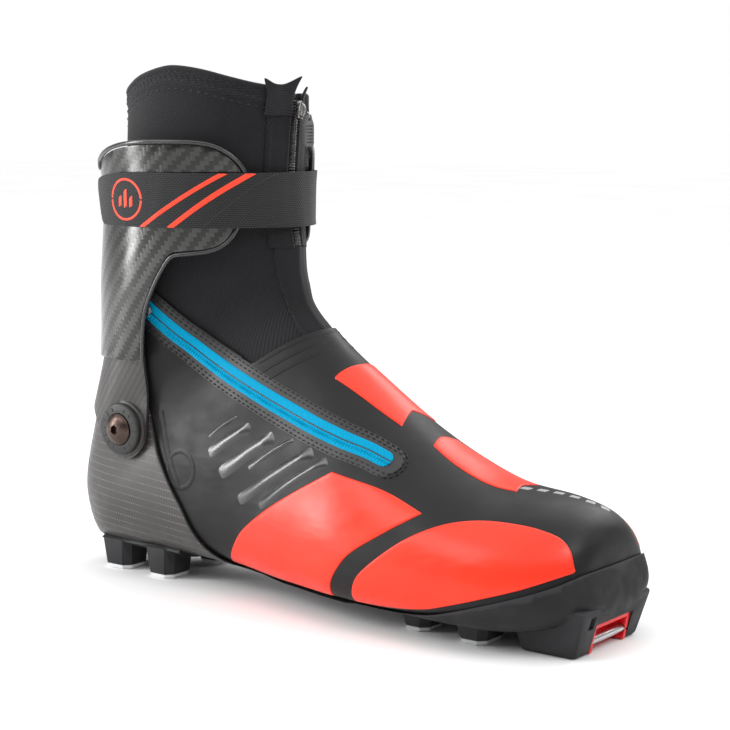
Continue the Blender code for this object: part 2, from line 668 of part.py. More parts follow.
def build_gaiter():
    lower = [(x, z - 9) for x, z in ZIP_LINE if x < 110]
    shape = ([(-40, 80), (10, 82), (40, 92)] + [(44, 128)] + lower
             + [(112, 100), (128, 112), (144, 120), (160, 125)] + [(160, COLLAR_Z - 0.3),
                                                                (-40, COLLAR_Z - 0.3)])
    ankle = node("gaiter_ankle", layer("gaiter_ankle", 0.56, 0.95, *GAITER), "gaiter_knit")
    combine(ankle, side_prism("ankle_outline", shape), "INTERSECT")
    collar = node("gaiter_collar", layer("gaiter_collar", 0.75, 1.0, *GAITER), "gaiter_knit")
    below_rim = [(x, z - 4.3) for x, z in RIM]
    shape = [(-20, COLLAR_Z)] + below_rim + [(140, COLLAR_Z)]
    combine(collar, side_prism("collar_outline", shape), "INTERSECT")
    slit = box_mesh("slit", (95, -2.2, COLLAR_Z - 10), (150, 2.2, 300))
    combine(collar, cutter("collar_slit", slit), "DIFFERENCE")
    over = [(x, z - 4.3) for x, z in RIM_MEDIAL] + [(144, 290), (-24, 290)]
    combine(collar, side_prism("collar_medial", over, -0.6, 90.0), "DIFFERENCE")
    rim = node("collar_rim", layer("collar_rim", 0.92, 1.0, -3.4, -1.4), "gaiter_knit")
    halves = []
    for line, low, high in ((RIM, -90.0, 0.2), (RIM_MEDIAL, -0.2, 94.0)):
        shape = [(x, z - 4.0) for x, z in line] + [(x, z) for x, z in line][::-1]
        halves.append(side_prism("rim_outline_%d" % (low < 0), shape, low, high))
    combine(halves[0], halves[1], "UNION")
    combine(rim, halves[0], "INTERSECT")
    slit = box_mesh("slit", (95, -2.2, 150), (150, 2.2, 300))
    combine(rim, cutter("rim_slit", slit), "DIFFERENCE")
    return ankle, collar, rim


def build_front_zip():
    made = []
    for word, cols, low, high in (("lateral", range(12, 15), -40.0, -0.9),
                                  ("medial", range(14, 17), 0.9, 40.0)):
        name = "front_zip_tape_" + word
        obj = node(name, layer(name, 0.75, 1.0, -1.3, -0.6, columns=cols), "gaiter_knit")
        shape = box_mesh(name, (60, low, COLLAR_Z + 0.5), (150, high, 239.5))
        combine(obj, cutter(name, shape), "INTERSECT")
        made.append(obj)
    coil = node("front_zip_coil", layer("front_zip_coil", 0.75, 1.0, -0.3, 0.8,
                                        columns=range(13, 16)), "zip_black")
    combine(coil, cutter("coil_box", box_mesh("coil", (60, -1.6, COLLAR_Z + 1), (150, 1.6, 238))),
            "INTERSECT")
    made.append(coil)
    strip = node("front_strip", layer("front_strip", 0.61, 0.92, -1.3, -0.5,
                                      columns=range(12, 17)), "gaiter_knit")
    combine(strip, side_prism("strip_outline", [(80, 176), (120, COLLAR_Z - 1.6),
                                                (160, COLLAR_Z - 1.6), (160, 140), (129.5, 133.0),
                                                (122, 127), (112, 119), (60, 119)]), "INTERSECT")
    made.append(strip)
    for word, side in (("lateral", -1), ("medial", 1)):
        name = "zip_end_flap_" + word
        low, high = sorted((side * 2.6, side * 11.5))
        flap = node(name, box_mesh(name, (120.9, low, 231.0), (123.2, high, 246.5)), "gaiter_knit")
        bevel(flap, 0.8)
        made.append(flap)
    return made


SLIDER_Z = (229.0, 238.0)


def build_front_slider():
    slider = node("front_zip_slider", box_mesh("front_zip_slider", (122.0, -2.35, SLIDER_Z[0]),
                                               (124.4, 2.35, SLIDER_Z[1])), "zip_metal")
    bevel(slider, 0.6)
    bail = box_mesh("bail", (124.2, -1.2, 230.9), (125.8, 1.2, 236.0))
    combine(slider, cutter("front_bail", bail), "UNION")
    puller = node("front_zip_puller", box_mesh("front_zip_puller", (126.5, -3.4, 216.0),
                                               (128.7, 3.4, 231.5)), "puller")
    bevel(puller, 0.7)
    return slider, puller


# ---------------------------------------------------------------- cuff and strap

def blend(value, low, high):
    return min(max((value - low) / (high - low), 0.0), 1.0)


def cuff_inner(point, angle):
    """Inner face of the carbon cuff: it stands off the leg at the back and hugs it in front."""
    z = point[2]
    heights = (110, 148, 180, 200, 218, 240)
    rear = float(np.interp(z, heights, (4.3, 6.6, 7.2, 9.0, 12.0, 13.0)))
    side = float(np.interp(z, heights, (4.6, 6.0, 5.4, 5.4, 6.0, 6.2)))
    front = float(np.interp(z, heights, (4.6, 4.6, 0.8, 0.8, 1.2, 1.4)))
    value = rear + (side - rear) * blend(angle, 40, 95)
    return value + (front - value) * blend(angle, 100, 140)


def cuff_outer(point, angle):
    return cuff_inner(point, angle) + CUFF_T


def strap_inner(point, angle):
    return max(cuff_outer(point, angle) + 0.9, 1.2) * (1 - blend(angle, 150, 172)) \
        + 1.3 * blend(angle, 150, 172)


def strap_outer(point, angle):
    return strap_inner(point, angle) + 1.5


def build_cuff():
    body = node("carbon_cuff", layer("carbon_cuff", 0.715, 1.0, cuff_inner, cuff_outer,
                                     columns=range(-12, 13)), "carbon")
    shape = [(-40, 203)] + list(CUFF_EDGE) + [(-40, 112)]
    combine(body, side_prism("cuff_outline", shape), "INTERSECT")
    return body


def build_yoke():
    body = node("carbon_yoke", layer("carbon_yoke", 0.67 - 0.015, 0.95, *YOKE,
                                     columns=range(-9, 10)), "carbon_matte")
    shape = [(-40, 128), (57, 128), (57, 112), (56.5, 84), (55.5, 71), (52, 66), (47, 62.5),
             (42, 61.5), (37, 62.5), (31.5, 66), (28, 71), (22, 80), (12, 88), (-40, 92)]
    combine(body, side_prism("yoke_outline", shape), "INTERSECT")
    clearance = last_solid("yoke_clearance", YOKE[0] + 0.15, 0.44, 1.0)
    for side in (-1, 1):
        y = on_last(PIVOT_X, PIVOT_Z, side)[0][1]
        start, end = sorted((y + side * 1.0, y + side * PIVOT_FACE))
        boss = cutter("pivot_boss_%d" % (side > 0),
                      rod_mesh("boss", (PIVOT_X, start, PIVOT_Z), (PIVOT_X, end, PIVOT_Z), 14.2, 28))
        combine(boss, clearance, "DIFFERENCE")
        combine(body, boss, "UNION")
        seat = rod_mesh("seat", (PIVOT_X, y + side * (PIVOT_FACE + 0.02), PIVOT_Z),
                        (PIVOT_X, y + side * (PIVOT_FACE + 6), PIVOT_Z), 13.3, 28)
        combine(body, cutter("pivot_seat_%d" % (side > 0), seat), "DIFFERENCE")
    pivot_hole(body, 5.2, -1)
    pivot_hole(body, 5.2, 1)
    return body


PIVOT_FACE = 5.3          # flat outer face of the yoke's boss, out from the last


def build_pivot(side, word):
    """Dial washer, bolt, bush and inner nut of one cuff pivot."""
    face = on_last(PIVOT_X, PIVOT_Z, side)[0][1]
    y = face + side * PIVOT_FACE
    dial = turned("pivot_dial_" + word, [(4.4, 2.8), (11.8, 2.8), (12.8, 1.8), (12.8, 0.3),
                                         (4.4, 0.3)], "dial", y, side, sides=28)
    bush = turned("pivot_bush_" + word, [(4.15, 0.0), (5.0, 0.0), (5.0, -2.3), (4.15, -2.3)],
                  "nylon", y, side)
    bolt = turned("pivot_bolt_" + word, [(0, 6.0), (3.2, 5.7), (6.0, 4.6), (7.7, 3.1), (2.9, 3.1),
                                         (2.9, -6.0), (0, -6.0)], "bolt", y, side, closed=False)
    hexagon = rod_mesh("hex", (PIVOT_X, y + side * 3.9, PIVOT_Z), (PIVOT_X, y + side * 12, PIVOT_Z),
                       2.5, 6)
    combine(bolt, cutter("hex_" + word, hexagon), "DIFFERENCE")
    nut = turned("pivot_nut_" + word, [(3.05, 2.6), (3.9, 2.6), (3.9, -7.4), (8.0, -7.4),
                                       (8.0, -8.8), (3.05, -8.8)], "steel", y, side)
    return dial, bush, bolt, nut


def build_cuff_pad():
    def outer(point, angle):
        return cuff_inner(point, angle) - 0.5
    pad = node("cuff_pad", layer("cuff_pad", 0.75, 1.0, -1.3, outer, columns=range(-8, 9)), "foam")
    shape = [(-40, 132), (22, 132), (33, 158), (62, 168), (80, 175), (84, 196), (74, 207), (20, 199), (-40, 197)]
    combine(pad, side_prism("pad_outline", shape), "INTERSECT")
    return pad


def build_strap():
    cols = range(5, 23)
    main = node("cuff_strap", layer("cuff_strap", 0.75, 1.0, strap_inner, strap_outer,
                                    columns=cols), "strap_web")
    low, high = STRAP_Z
    combine(main, cutter("strap_box", box_mesh("strap", (-60, -90, low), (160, 90, high))),
            "INTERSECT")
    combine(main, cutter("strap_split", box_mesh("split", (0, -90, 150), (STRAP_SPLIT + 0.3, 0, 230))),
            "DIFFERENCE")
    tab = node("strap_tab", layer("strap_tab", 0.75, 1.0, strap_inner, strap_outer,
                                  columns=range(3, 10)), "strap_web")
    split = STRAP_SPLIT - 0.3
    shape = [(split, low), (split, high), (40, high), (31, high - 1.5), (26, high - 6),
             (24.5, (low + high) / 2), (26, low + 6), (31, low + 1.5), (40, low)]
    combine(tab, side_prism("tab_outline", shape), "INTERSECT")
    return main, tab


def build_hook_pad():
    def inner(point, angle):
        return cuff_outer(point, angle) + 0.25

    def outer(point, angle):
        return cuff_outer(point, angle) + 0.6
    pad = node("strap_hook_pad", layer("strap_hook_pad", 0.75, 1.0, inner, outer,
                                       columns=range(3, 8)), "fastener")
    shape = [(30, 181), (30, 201), (60, 201), (60, 181)]
    combine(pad, side_prism("hook_outline", shape), "INTERSECT")
    return pad


def build_rivets():
    """Two rivets that hold the strap's fixed end on the medial side of the cuff."""
    made = []
    for k, z in enumerate((185.0, 197.0)):
        x = 68.0
        at, n = on_last(x, z, 1)
        amount = strap_outer(at, 90.0)
        outside = at + n * (amount + 1.9)
        inside = at + n * (amount + 0.5)
        name = "strap_rivet_%d" % (k + 1)
        rivet = node(name, rod_mesh(name, tuple(inside), tuple(outside), 4.0, 18), "zip_metal")
        bevel(rivet, 0.5)
        made.append(rivet)
    return made


# ---------------------------------------------------------------- side zip slider

SLIDE_FROM, SLIDE_TO = (58.5, 137.9), (67.0, 131.0)


def build_side_slider():
    a, n = on_last(*SLIDE_FROM, -1)
    b, m = on_last(*SLIDE_TO, -1)
    along = Vector(b - a).normalized()
    normal = Vector(n + m).normalized()
    across = normal.cross(along).normalized()
    normal = along.cross(across).normalized()
    turn = Matrix((along, across, normal)).transposed()

    def place(low, high, name):
        mesh = box_mesh(name, low, high)
        mesh.transform(Matrix.Translation(Vector(a) * MM) @ turn.to_4x4())
        return mesh
    slider = node("side_zip_slider", place((-4.0, -3.0, 2.3), (4.0, 3.0, 2.95), "slider"),
                  "zip_metal")
    return [slider], along


# ---------------------------------------------------------------- assembly

def build():
    foot = last_solid("foot", 0.3, 0.0, 0.95)
    build_forefoot_sole(foot)
    build_bar()
    build_heel_sole()
    for k, lug in enumerate(FOREFOOT_LUGS):
        lug_tip("forefoot_lug_tip_%d" % (k + 1), lug)
    for k, lug in enumerate(HEEL_LUGS):
        lug_tip("heel_lug_tip_%d" % (k + 1), lug)
    build_chassis()
    build_footbed()
    build_upper()
    build_cover()
    build_panels()
    build_side_zip()
    build_lacing()
    heel_liner, cuff_liner = build_liners()
    ankle, collar, rim = build_gaiter()
    lateral_tape, medial_tape, coil, strip, flap_a, flap_b = build_front_zip()
    slider, puller = build_front_slider()
    cuff = build_cuff()
    yoke = build_yoke()
    pad = build_cuff_pad()
    strap, tab = build_strap()
    hook = build_hook_pad()
    rivets = build_rivets()
    bushes = []
    for side, word in ((-1, "lateral"), (1, "medial")):
        bushes.append(build_pivot(side, word)[1])
    side_slider, along = build_side_slider()
    riding = [cuff_liner, collar, rim, lateral_tape, medial_tape, coil, flap_a, flap_b, cuff, yoke,
              pad, strap, hook, slider, puller, tab] + rivets + bushes
    carry("cuff_hinge", (PIVOT_X, 0, PIVOT_Z), riding)


def to_origin():
    """Moves the boot so that the origin is under the middle of its bounding box."""
    shift = Vector((-FRAME_X, -FRAME_Y, 0)) * MM
    for obj in bpy.data.objects:
        if obj.parent is None:
            obj.location += shift
    bpy.context.view_layer.update()


build()
to_origin()
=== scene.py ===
"""Looks of the cross country skate boot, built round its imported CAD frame.

Lengths are millimetres in the last frame (x heel to toe, y to the medial side, z up from the
ground) until place() turns a mesh to metres in the row frame.
"""

import math
import random

import bmesh
import bpy
import numpy as np
from mathutils import Matrix, Vector
from mathutils.bvhtree import BVHTree


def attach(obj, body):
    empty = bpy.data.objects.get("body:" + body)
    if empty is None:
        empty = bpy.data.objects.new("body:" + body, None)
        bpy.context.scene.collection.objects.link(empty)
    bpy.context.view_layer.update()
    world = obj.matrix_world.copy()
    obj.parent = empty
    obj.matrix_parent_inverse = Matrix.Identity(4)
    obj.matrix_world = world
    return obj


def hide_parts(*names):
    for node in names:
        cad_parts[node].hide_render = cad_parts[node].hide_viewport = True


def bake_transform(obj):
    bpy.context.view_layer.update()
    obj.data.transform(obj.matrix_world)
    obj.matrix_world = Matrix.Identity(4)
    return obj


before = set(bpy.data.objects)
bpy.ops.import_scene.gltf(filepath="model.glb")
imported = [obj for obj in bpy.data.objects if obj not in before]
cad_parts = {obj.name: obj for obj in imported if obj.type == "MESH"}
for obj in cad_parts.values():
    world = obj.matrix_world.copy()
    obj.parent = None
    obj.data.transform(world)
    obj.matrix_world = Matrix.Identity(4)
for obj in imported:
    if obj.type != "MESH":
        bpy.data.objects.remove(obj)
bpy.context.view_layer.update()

MM = 0.001
FRAME_X, FRAME_Y = 147.26, -1.885
RING = 144
PIVOT = (42.0, 77.0)
STRAP_Z = (178.0, 204.0)
STRAP_SPLIT = 70.0

# v, back x z, front x z, half widths lateral and medial, mid y, widest at, squareness back, front
STATIONS = (
    (0.00, 298, 30, 297, 38, 8, 8, 4, 0.50, 2.2, 2.2),
    (0.03, 298, 22, 294, 50, 24, 22, 4, 0.42, 2.6, 2.2),
    (0.08, 293, 17, 286, 59, 35, 31, 3, 0.36, 3.0, 2.2),
    (0.15, 279, 13, 270, 64, 45, 39, 1, 0.32, 3.4, 2.2),
    (0.24, 252, 10, 245, 67.5, 51, 43, 0, 0.30, 3.6, 2.1),
    (0.34, 220, 9, 216, 78.5, 52, 44, 0, 0.28, 3.6, 2.0),
    (0.44, 182, 9, 190, 94, 50, 42, -1, 0.26, 3.6, 2.0),
    (0.53, 142, 10, 167, 110.5, 45, 38, -1, 0.27, 3.4, 2.0),
    (0.61, 100, 13, 148, 123.5, 41, 37, 0, 0.29, 3.2, 2.0),
    (0.67, 55, 14, 135, 135.5, 39, 37, 0, 0.30, 3.0, 2.0),
    (0.715, 7, 13, 127, 146.5, 37, 36, 0, 0.29, 2.6, 2.0),
    (0.75, -5, 34, 124, 157.5, 36, 35, 0, 0.29, 2.2, 2.0),
    (0.79, 0.5, 64, 122.5, 169.5, 38, 37, 0, 0.33, 2.1, 2.0),
    (0.84, 11, 106, 120, 184.5, 39.5, 37.5, 0, 0.40, 2.0, 2.0),
    (0.90, 15.5, 150, 119, 201.5, 41, 38, 0, 0.46, 2.0, 2.0),
    (0.95, 19.5, 198, 120, 220.5, 41, 38, 0, 0.50, 2.0, 2.0),
    (0.98, 22, 236, 121, 238, 42, 38.5, 0, 0.50, 2.0, 2.0),
    (1.00, 22.5, 262, 121, 262, 42, 38.5, 0, 0.50, 2.0, 2.0),
)

ZIP_LINE = ((54, 141.6), (60, 136.7), (67, 131), (75, 124.5), (85, 117), (98, 110), (116, 103),
            (135, 96), (154, 90), (173, 84.5), (188, 80.5), (200, 76))
SEAM = ((55, 92), (57, 82), (62, 68), (67, 59), (73, 50), (80, 41), (86, 31), (93, 22), (102, 14))
BUMPER = ((188, 10.5), (210, 11.5), (232, 14.5), (246, 18.5), (260, 23), (277, 28.5), (290, 33.5),
          (296, 37), (310, 41))
RIM = ((-20, 238), (15, 239.5), (35, 243.5), (55, 250), (74, 254), (84, 253.7), (95, 251.5),
       (110, 246.5), (122, 243.5), (140, 243))
RIM_MEDIAL = ((-24, 237.6), (14, 238.6), (36, 240), (55, 241), (75, 241.5), (95, 241.2),
              (144, 240.8))
CUFF_EDGE = ((20, 205), (40, 213), (60, 216.5), (90, 217), (100, 215.5), (106.5, 210.5),
             (109.5, 203), (108.5, 190), (105.5, 178), (102, 171.5), (96, 168.3), (87, 167), (79, 165.5),
             (73, 158),
             (67, 148), (62, 138), (59, 126), (57, 112))

# ---------------------------------------------------------------- the last surface


def smooth_rows(v):
    """Monotone cubic interpolation of the stations."""
    table = np.array(STATIONS, float)
    x, y = table[:, 0], table[:, 1:]
    h = np.diff(x)[:, None]
    d = np.diff(y, axis=0) / h
    slope = np.zeros_like(y)
    w1, w2 = 2 * h[1:] + h[:-1], h[1:] + 2 * h[:-1]
    with np.errstate(divide="ignore", invalid="ignore"):
        mean = (w1 + w2) / (w1 / d[:-1] + w2 / d[1:])
    slope[1:-1] = np.where(d[1:] * d[:-1] > 0, mean, 0)
    slope[0], slope[-1] = d[0], d[-1]
    v = np.clip(np.atleast_1d(v), 0, 1)
    i = np.clip(np.searchsorted(x, v, side="right") - 1, 0, len(x) - 2)
    s = ((v - x[i]) / (x[i + 1] - x[i]))[:, None]
    hi = (x[i + 1] - x[i])[:, None]
    return ((2 * s**3 - 3 * s**2 + 1) * y[i] + (s**3 - 2 * s**2 + s) * hi * slope[i]
            + (3 * s**2 - 2 * s**3) * y[i + 1] + (s**3 - s**2) * hi * slope[i + 1])


def last_surface(v, turns):
    rows = smooth_rows(v)[:, :, None]
    xb, zb, xt, zt, wide_lat, wide_med, yc, tw, pb, pt = (rows[:, k] for k in range(10))
    q = np.where(turns <= math.pi, turns, 2 * math.pi - turns)[None]
    c = np.cos(q)
    power = np.where(c > 0, pb, pt)
    s = np.abs(c) ** (2 / power)
    w = np.maximum(np.sin(q), 0) ** (2 / power)
    t = np.where(c > 0, tw * (1 - s), tw + (1 - tw) * s)
    y = np.where(turns[None] <= math.pi, yc - wide_lat * w, yc + wide_med * w)
    return np.stack([xb + (xt - xb) * t, y, zb + (zt - zb) * t], axis=2)


TURNS = np.linspace(0, 2 * math.pi, RING, endpoint=False)
ROWS = np.concatenate([np.linspace(0, 0.1, 22)[:-1], np.linspace(0.1, 1.0, 136)])
LAST = last_surface(ROWS, TURNS)


def surface_normals(points):
    along = np.gradient(points, axis=0)
    round_ = np.roll(points, -1, 1) - np.roll(points, 1, 1)
    normals = np.cross(round_, along)
    normals /= np.linalg.norm(normals, axis=2, keepdims=True)
    if ((points - points.mean(axis=1, keepdims=True)) * normals).sum() < 0:
        normals = -normals
    return normals


NORMALS = surface_normals(LAST)
ANGLES = np.degrees(np.minimum(TURNS, 2 * math.pi - TURNS))[None] + 0 * LAST[:, :, 0]
CLOSED = np.concatenate([LAST, LAST[:, :1]], axis=1)
ROUND = np.concatenate([np.zeros((len(ROWS), 1)),
                        np.cumsum(np.linalg.norm(np.diff(CLOSED, axis=1), axis=2), axis=1)], axis=1)
ROUND -= ROUND[:, RING // 2:RING // 2 + 1]
ALONG = np.concatenate([np.zeros((1, RING + 1)),
                        np.cumsum(np.linalg.norm(np.diff(CLOSED, axis=0), axis=2), axis=0)])


def offset_grid(amount):
    """The last moved out by a length, or by a function of (points, angles from the back)."""
    if callable(amount):
        amount = amount(LAST, ANGLES)[:, :, None]
    return LAST + NORMALS * amount


def ease(value, low, high):
    return np.clip((value - low) / (high - low), 0, 1)


def tree_of(points):
    n = RING
    verts = [Vector(p) for p in points.reshape(-1, 3)]
    quads = [(i * n + j, i * n + (j + 1) % n, (i + 1) * n + (j + 1) % n, (i + 1) * n + j)
             for i in range(len(points) - 1) for j in range(n)]
    return BVHTree.FromPolygons(verts, quads), quads


class Skin:
    """A smooth surface that pieces are laid on, by a ray from the side or from above."""

    def __init__(self, amount=0.0):
        self.points = offset_grid(amount)
        self.normals = surface_normals(self.points).reshape(-1, 3)
        self.flat = self.points.reshape(-1, 3)
        self.tree, self.quads = tree_of(self.points)

    def cast(self, start, direction):
        hit, normal, index, _ = self.tree.ray_cast(Vector(start), Vector(direction))
        if hit is None:
            aim = Vector(start)
            aim -= Vector(direction) * aim.dot(Vector(direction))
            hit, normal, index, _ = self.tree.find_nearest(aim)
        quad = self.quads[index]
        near = [1 / ((Vector(self.flat[k]) - hit).length + 1e-3) for k in quad]
        blend_ = sum((Vector(self.normals[k]) * w for k, w in zip(quad, near)), Vector())
        return hit, blend_.normalized()

    def side(self, x, z, side=-1):
        return self.cast((x, side * 200.0, z), (0, -side, 0))

    def top(self, x, y):
        return self.cast((x, y, 300.0), (0, 0, -1))


SKIN = Skin()

# ---------------------------------------------------------------- meshes


def place(mesh):
    """From millimetres in the last frame to metres in the row frame."""
    mesh.transform(Matrix.Scale(MM, 4) @ Matrix.Translation((-FRAME_X, -FRAME_Y, 0)))
    return mesh


def to_row(x, y, z):
    return ((x - FRAME_X) * MM, (y - FRAME_Y) * MM, z * MM)


def new_object(name, mesh):
    obj = bpy.data.objects.new(name, mesh)
    bpy.context.scene.collection.objects.link(obj)
    return obj


def raw_mesh(name, points, faces, uvs=None):
    mesh = bpy.data.meshes.new(name)
    mesh.from_pydata([tuple(map(float, p)) for p in points], [], faces)
    if uvs is not None:
        layer_ = mesh.uv_layers.new(name="UVMap")
        flat = np.array([uv for face in uvs for uv in face], np.float32)
        layer_.data.foreach_set("uv", flat.ravel())
    return mesh


def row_range(low, high):
    return [i for i, v in enumerate(ROWS) if low - 1e-6 <= v <= high + 1e-6]


def slab(name, low, high, inner, outer, first=None, last=None, toe=False, level=False):
    """A closed slab between two offsets of the last, columns first to last in degrees."""
    rows = row_range(low, high)
    ring = first is None
    if ring:
        columns = list(range(RING + 1))
    else:
        a, b = (int(round(d / 360 * RING)) for d in (first, last))
        columns = list(range(a, b + 1))
    out, inn = offset_grid(outer), offset_grid(inner)
    wide = RING if ring else len(columns)
    base = len(rows) * wide
    points = [out[i, columns[j] % RING] for i in rows for j in range(wide)]
    points += [inn[i, columns[j] % RING] for i in rows for j in range(wide)]
    turns = [(c - RING if c > RING else c) if c >= 0 else c + RING for c in columns]

    def uv(i, j):
        up = LAST[rows[i], turns[j] % RING, 2] if level else ALONG[rows[i], turns[j]]
        return (ROUND[rows[i], turns[j]], up)
    faces, uvs = [], []

    def add(keys, flip=False):
        ids = [(k[0] * wide + k[1] % wide if ring else k[0] * wide + k[1]) + base * k[2]
               for k in keys]
        tex = [uv(k[0], k[1]) for k in keys]
        faces.append(ids[::-1] if flip else ids)
        uvs.append(tex[::-1] if flip else tex)
    across = wide if ring else wide - 1
    for i in range(len(rows) - 1):
        for j in range(across):
            quad = ((i, j), (i, j + 1), (i + 1, j + 1), (i + 1, j))
            add([(*k, 0) for k in quad])
            add([(*k, 1) for k in quad], True)
    for j in range(across):
        if not toe:
            add([(0, j, 0), (0, j, 1), (0, j + 1, 1), (0, j + 1, 0)])
        end = len(rows) - 1
        add([(end, j, 0), (end, j + 1, 0), (end, j + 1, 1), (end, j, 1)])
    if not ring:
        for i in range(len(rows) - 1):
            add([(i, 0, 0), (i + 1, 0, 0), (i + 1, 0, 1), (i, 0, 1)])
            k = wide - 1
            add([(i, k, 0), (i, k, 1), (i + 1, k, 1), (i + 1, k, 0)])
    if toe:
        for part in (0, 1):
            points.append(np.mean(points[part * base:part * base + wide], axis=0))
            for j in range(wide):
                ids = [len(points) - 1, part * base + (j + 1) % wide, part * base + j]
                tex = [(0, 0), uv(0, j + 1), uv(0, j)]
                faces.append(ids if part == 0 else ids[::-1])
                uvs.append(tex if part == 0 else tex[::-1])
    mesh = raw_mesh(name, points, faces, uvs)
    work = bmesh.new()
    work.from_mesh(mesh)
    bmesh.ops.recalc_face_normals(work, faces=work.faces)
    work.to_mesh(mesh)
    work.free()
    return new_object(name, mesh)


def smooth_outline(points, closed=False, step=2.0, corner=52):
    """A rounder outline: Catmull-Rom through the points, keeping corners sharper than corner."""
    pts = [Vector(p).to_2d() for p in points]
    n = len(pts)
    result = []
    spans = n if closed else n - 1

    def tangent(i):
        if not closed and i in (0, n - 1):
            j = 1 if i == 0 else n - 2
            return (pts[j] - pts[i]) * (1 if i == 0 else -1)
        a, b, c = pts[(i - 1) % n], pts[i % n], pts[(i + 1) % n]
        if (b - a).angle(c - b, 0) > math.radians(corner):
            return None
        return (c - a) / 2
    for i in range(spans):
        a, b = pts[i], pts[(i + 1) % n]
        ta, tb = tangent(i), tangent((i + 1) % n)
        ta = b - a if ta is None else ta * min(1, (b - a).length / max(ta.length, 1e-6))
        tb = b - a if tb is None else tb * min(1, (b - a).length / max(tb.length, 1e-6))
        count = max(int((b - a).length / step), 1)
        for k in range(count):
            s = k / count
            result.append(a * (2 * s**3 - 3 * s**2 + 1) + ta * (s**3 - 2 * s**2 + s)
                          + b * (3 * s**2 - 2 * s**3) + tb * (s**3 - s**2))
    if not closed:
        result.append(pts[-1])
    return [tuple(p) for p in result]


def prism(outline, low, high, axis="y"):
    """A prism from an outline of (x, z) along Y, or of (x, y) along Z."""
    n = len(outline)

    def point(p, h):
        return (p[0], h, p[1]) if axis == "y" else (p[0], p[1], h)
    points = [point(p, low) for p in outline] + [point(p, high) for p in outline]
    faces = [tuple(range(n)), tuple(range(2 * n - 1, n - 1, -1))]
    faces += [(i, (i + 1) % n, (i + 1) % n + n, i + n) for i in range(n)]
    mesh = raw_mesh("prism", points, faces)
    work = bmesh.new()
    work.from_mesh(mesh)
    bmesh.ops.recalc_face_normals(work, faces=work.faces)
    work.to_mesh(mesh)
    work.free()
    return new_object("prism", mesh)


def block(low, high, shrink=0.0):
    points = [(x, y, z) for z in (low[2], high[2]) for y in (low[1], high[1])
              for x in (low[0], high[0])]
    middle = [(a + b) / 2 for a, b in zip(low, high)]
    points = [(x - math.copysign(shrink if z == low[2] else 0, x - middle[0]),
               y - math.copysign(shrink if z == low[2] else 0, y - middle[1]), z)
              for x, y, z in points]
    faces = [(0, 2, 3, 1), (4, 5, 7, 6), (0, 1, 5, 4), (2, 6, 7, 3), (0, 4, 6, 2), (1, 3, 7, 5)]
    return new_object("block", raw_mesh("block", points, faces))


def rod(start, end, radius, sides=32):
    mesh = bpy.data.meshes.new("rod")
    start, end = Vector(start), Vector(end)
    turn = (end - start).to_track_quat("Z", "Y").to_matrix().to_4x4()
    work = bmesh.new()
    bmesh.ops.create_cone(work, cap_ends=True, segments=sides, radius1=radius, radius2=radius,
                          depth=(end - start).length,
                          matrix=Matrix.Translation((start + end) / 2) @ turn)
    work.to_mesh(mesh)
    work.free()
    return new_object("rod", mesh)


def carve(obj, *steps):
    """Applies (operation, other) Booleans, then removes the others."""
    for operation, other in steps:
        step = obj.modifiers.new("cut", "BOOLEAN")
        step.operation = operation
        step.solver = "EXACT"
        step.object = other
    bake(obj)
    for _, other in steps:
        bpy.data.objects.remove(other, do_unlink=True)
    return obj


def bake(obj):
    """Replaces the mesh by the evaluated one, with no modifier left."""
    bpy.context.view_layer.update()
    graph = bpy.context.evaluated_depsgraph_get()
    mesh = bpy.data.meshes.new_from_object(obj.evaluated_get(graph))
    obj.modifiers.clear()
    obj.data = mesh
    return obj


def bevel(obj, width, segments=2, angle=40):
    step = obj.modifiers.new("bevel", "BEVEL")
    step.width = width
    step.segments = segments
    step.limit_method = "ANGLE"
    step.angle_limit = math.radians(angle)
    step.harden_normals = False
    return bake(obj)


def finish_piece(obj, mat, body, slot, *nodes, smooth=40):
    """Places the mesh in the row frame, shades it, gives its material and rides it on its body; when
    body is a pair of points it only bakes the transform.
    """
    place(obj.data)
    obj.data.shade_smooth()
    obj.data.set_sharp_from_angle(angle=math.radians(smooth))
    obj.data.materials.clear()
    obj.data.materials.append(mat)
    if nodes:
        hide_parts(*nodes)
    if isinstance(body, tuple):
        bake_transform(obj)
    else:
        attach(obj, body)
    return obj


# ---------------------------------------------------------------- lines laid on a surface


def resample(points, step):
    pts = [Vector(p) for p in points]
    lengths = [0.0]
    for a, b in zip(pts[:-1], pts[1:]):
        lengths.append(lengths[-1] + (b - a).length)
    count = max(int(round(lengths[-1] / step)), 1)
    result, k = [], 0
    for i in range(count + 1):
        at = lengths[-1] * i / count
        while k < len(pts) - 2 and lengths[k + 1] < at:
            k += 1
        span = lengths[k + 1] - lengths[k]
        result.append(pts[k].lerp(pts[k + 1], (at - lengths[k]) / span if span else 0))
    return result


def laid(line, skin=None, side=-1, step=1.0, top=False):
    """Frames (point, normal, along, across) along a line of (x, z), or (x, y) from above."""
    skin = skin or SKIN
    found = []
    for p in resample([Vector((*q, 0)) for q in line], step / 3):
        found.append(skin.top(p.x, p.y) if top else skin.side(p.x, p.y, side))
    return frames_of([f[0] for f in found], step,
                     lambda p: skin.tree.find_nearest(p), skin)


def frames_of(points, step, nearest, skin):
    points = resample(points, step)
    frames = []
    for i, p in enumerate(points):
        hit, _, index, _ = nearest(p)
        quad = skin.quads[index]
        near = [1 / ((Vector(skin.flat[k]) - hit).length + 1e-3) for k in quad]
        normal = sum((Vector(skin.normals[k]) * w for k, w in zip(quad, near)), Vector())
        normal.normalize()
        before, after = points[max(i - 1, 0)], points[min(i + 1, len(points) - 1)]
        along = (after - before).normalized()
        across = normal.cross(along).normalized()
        frames.append((p, normal, along, across))
    return frames


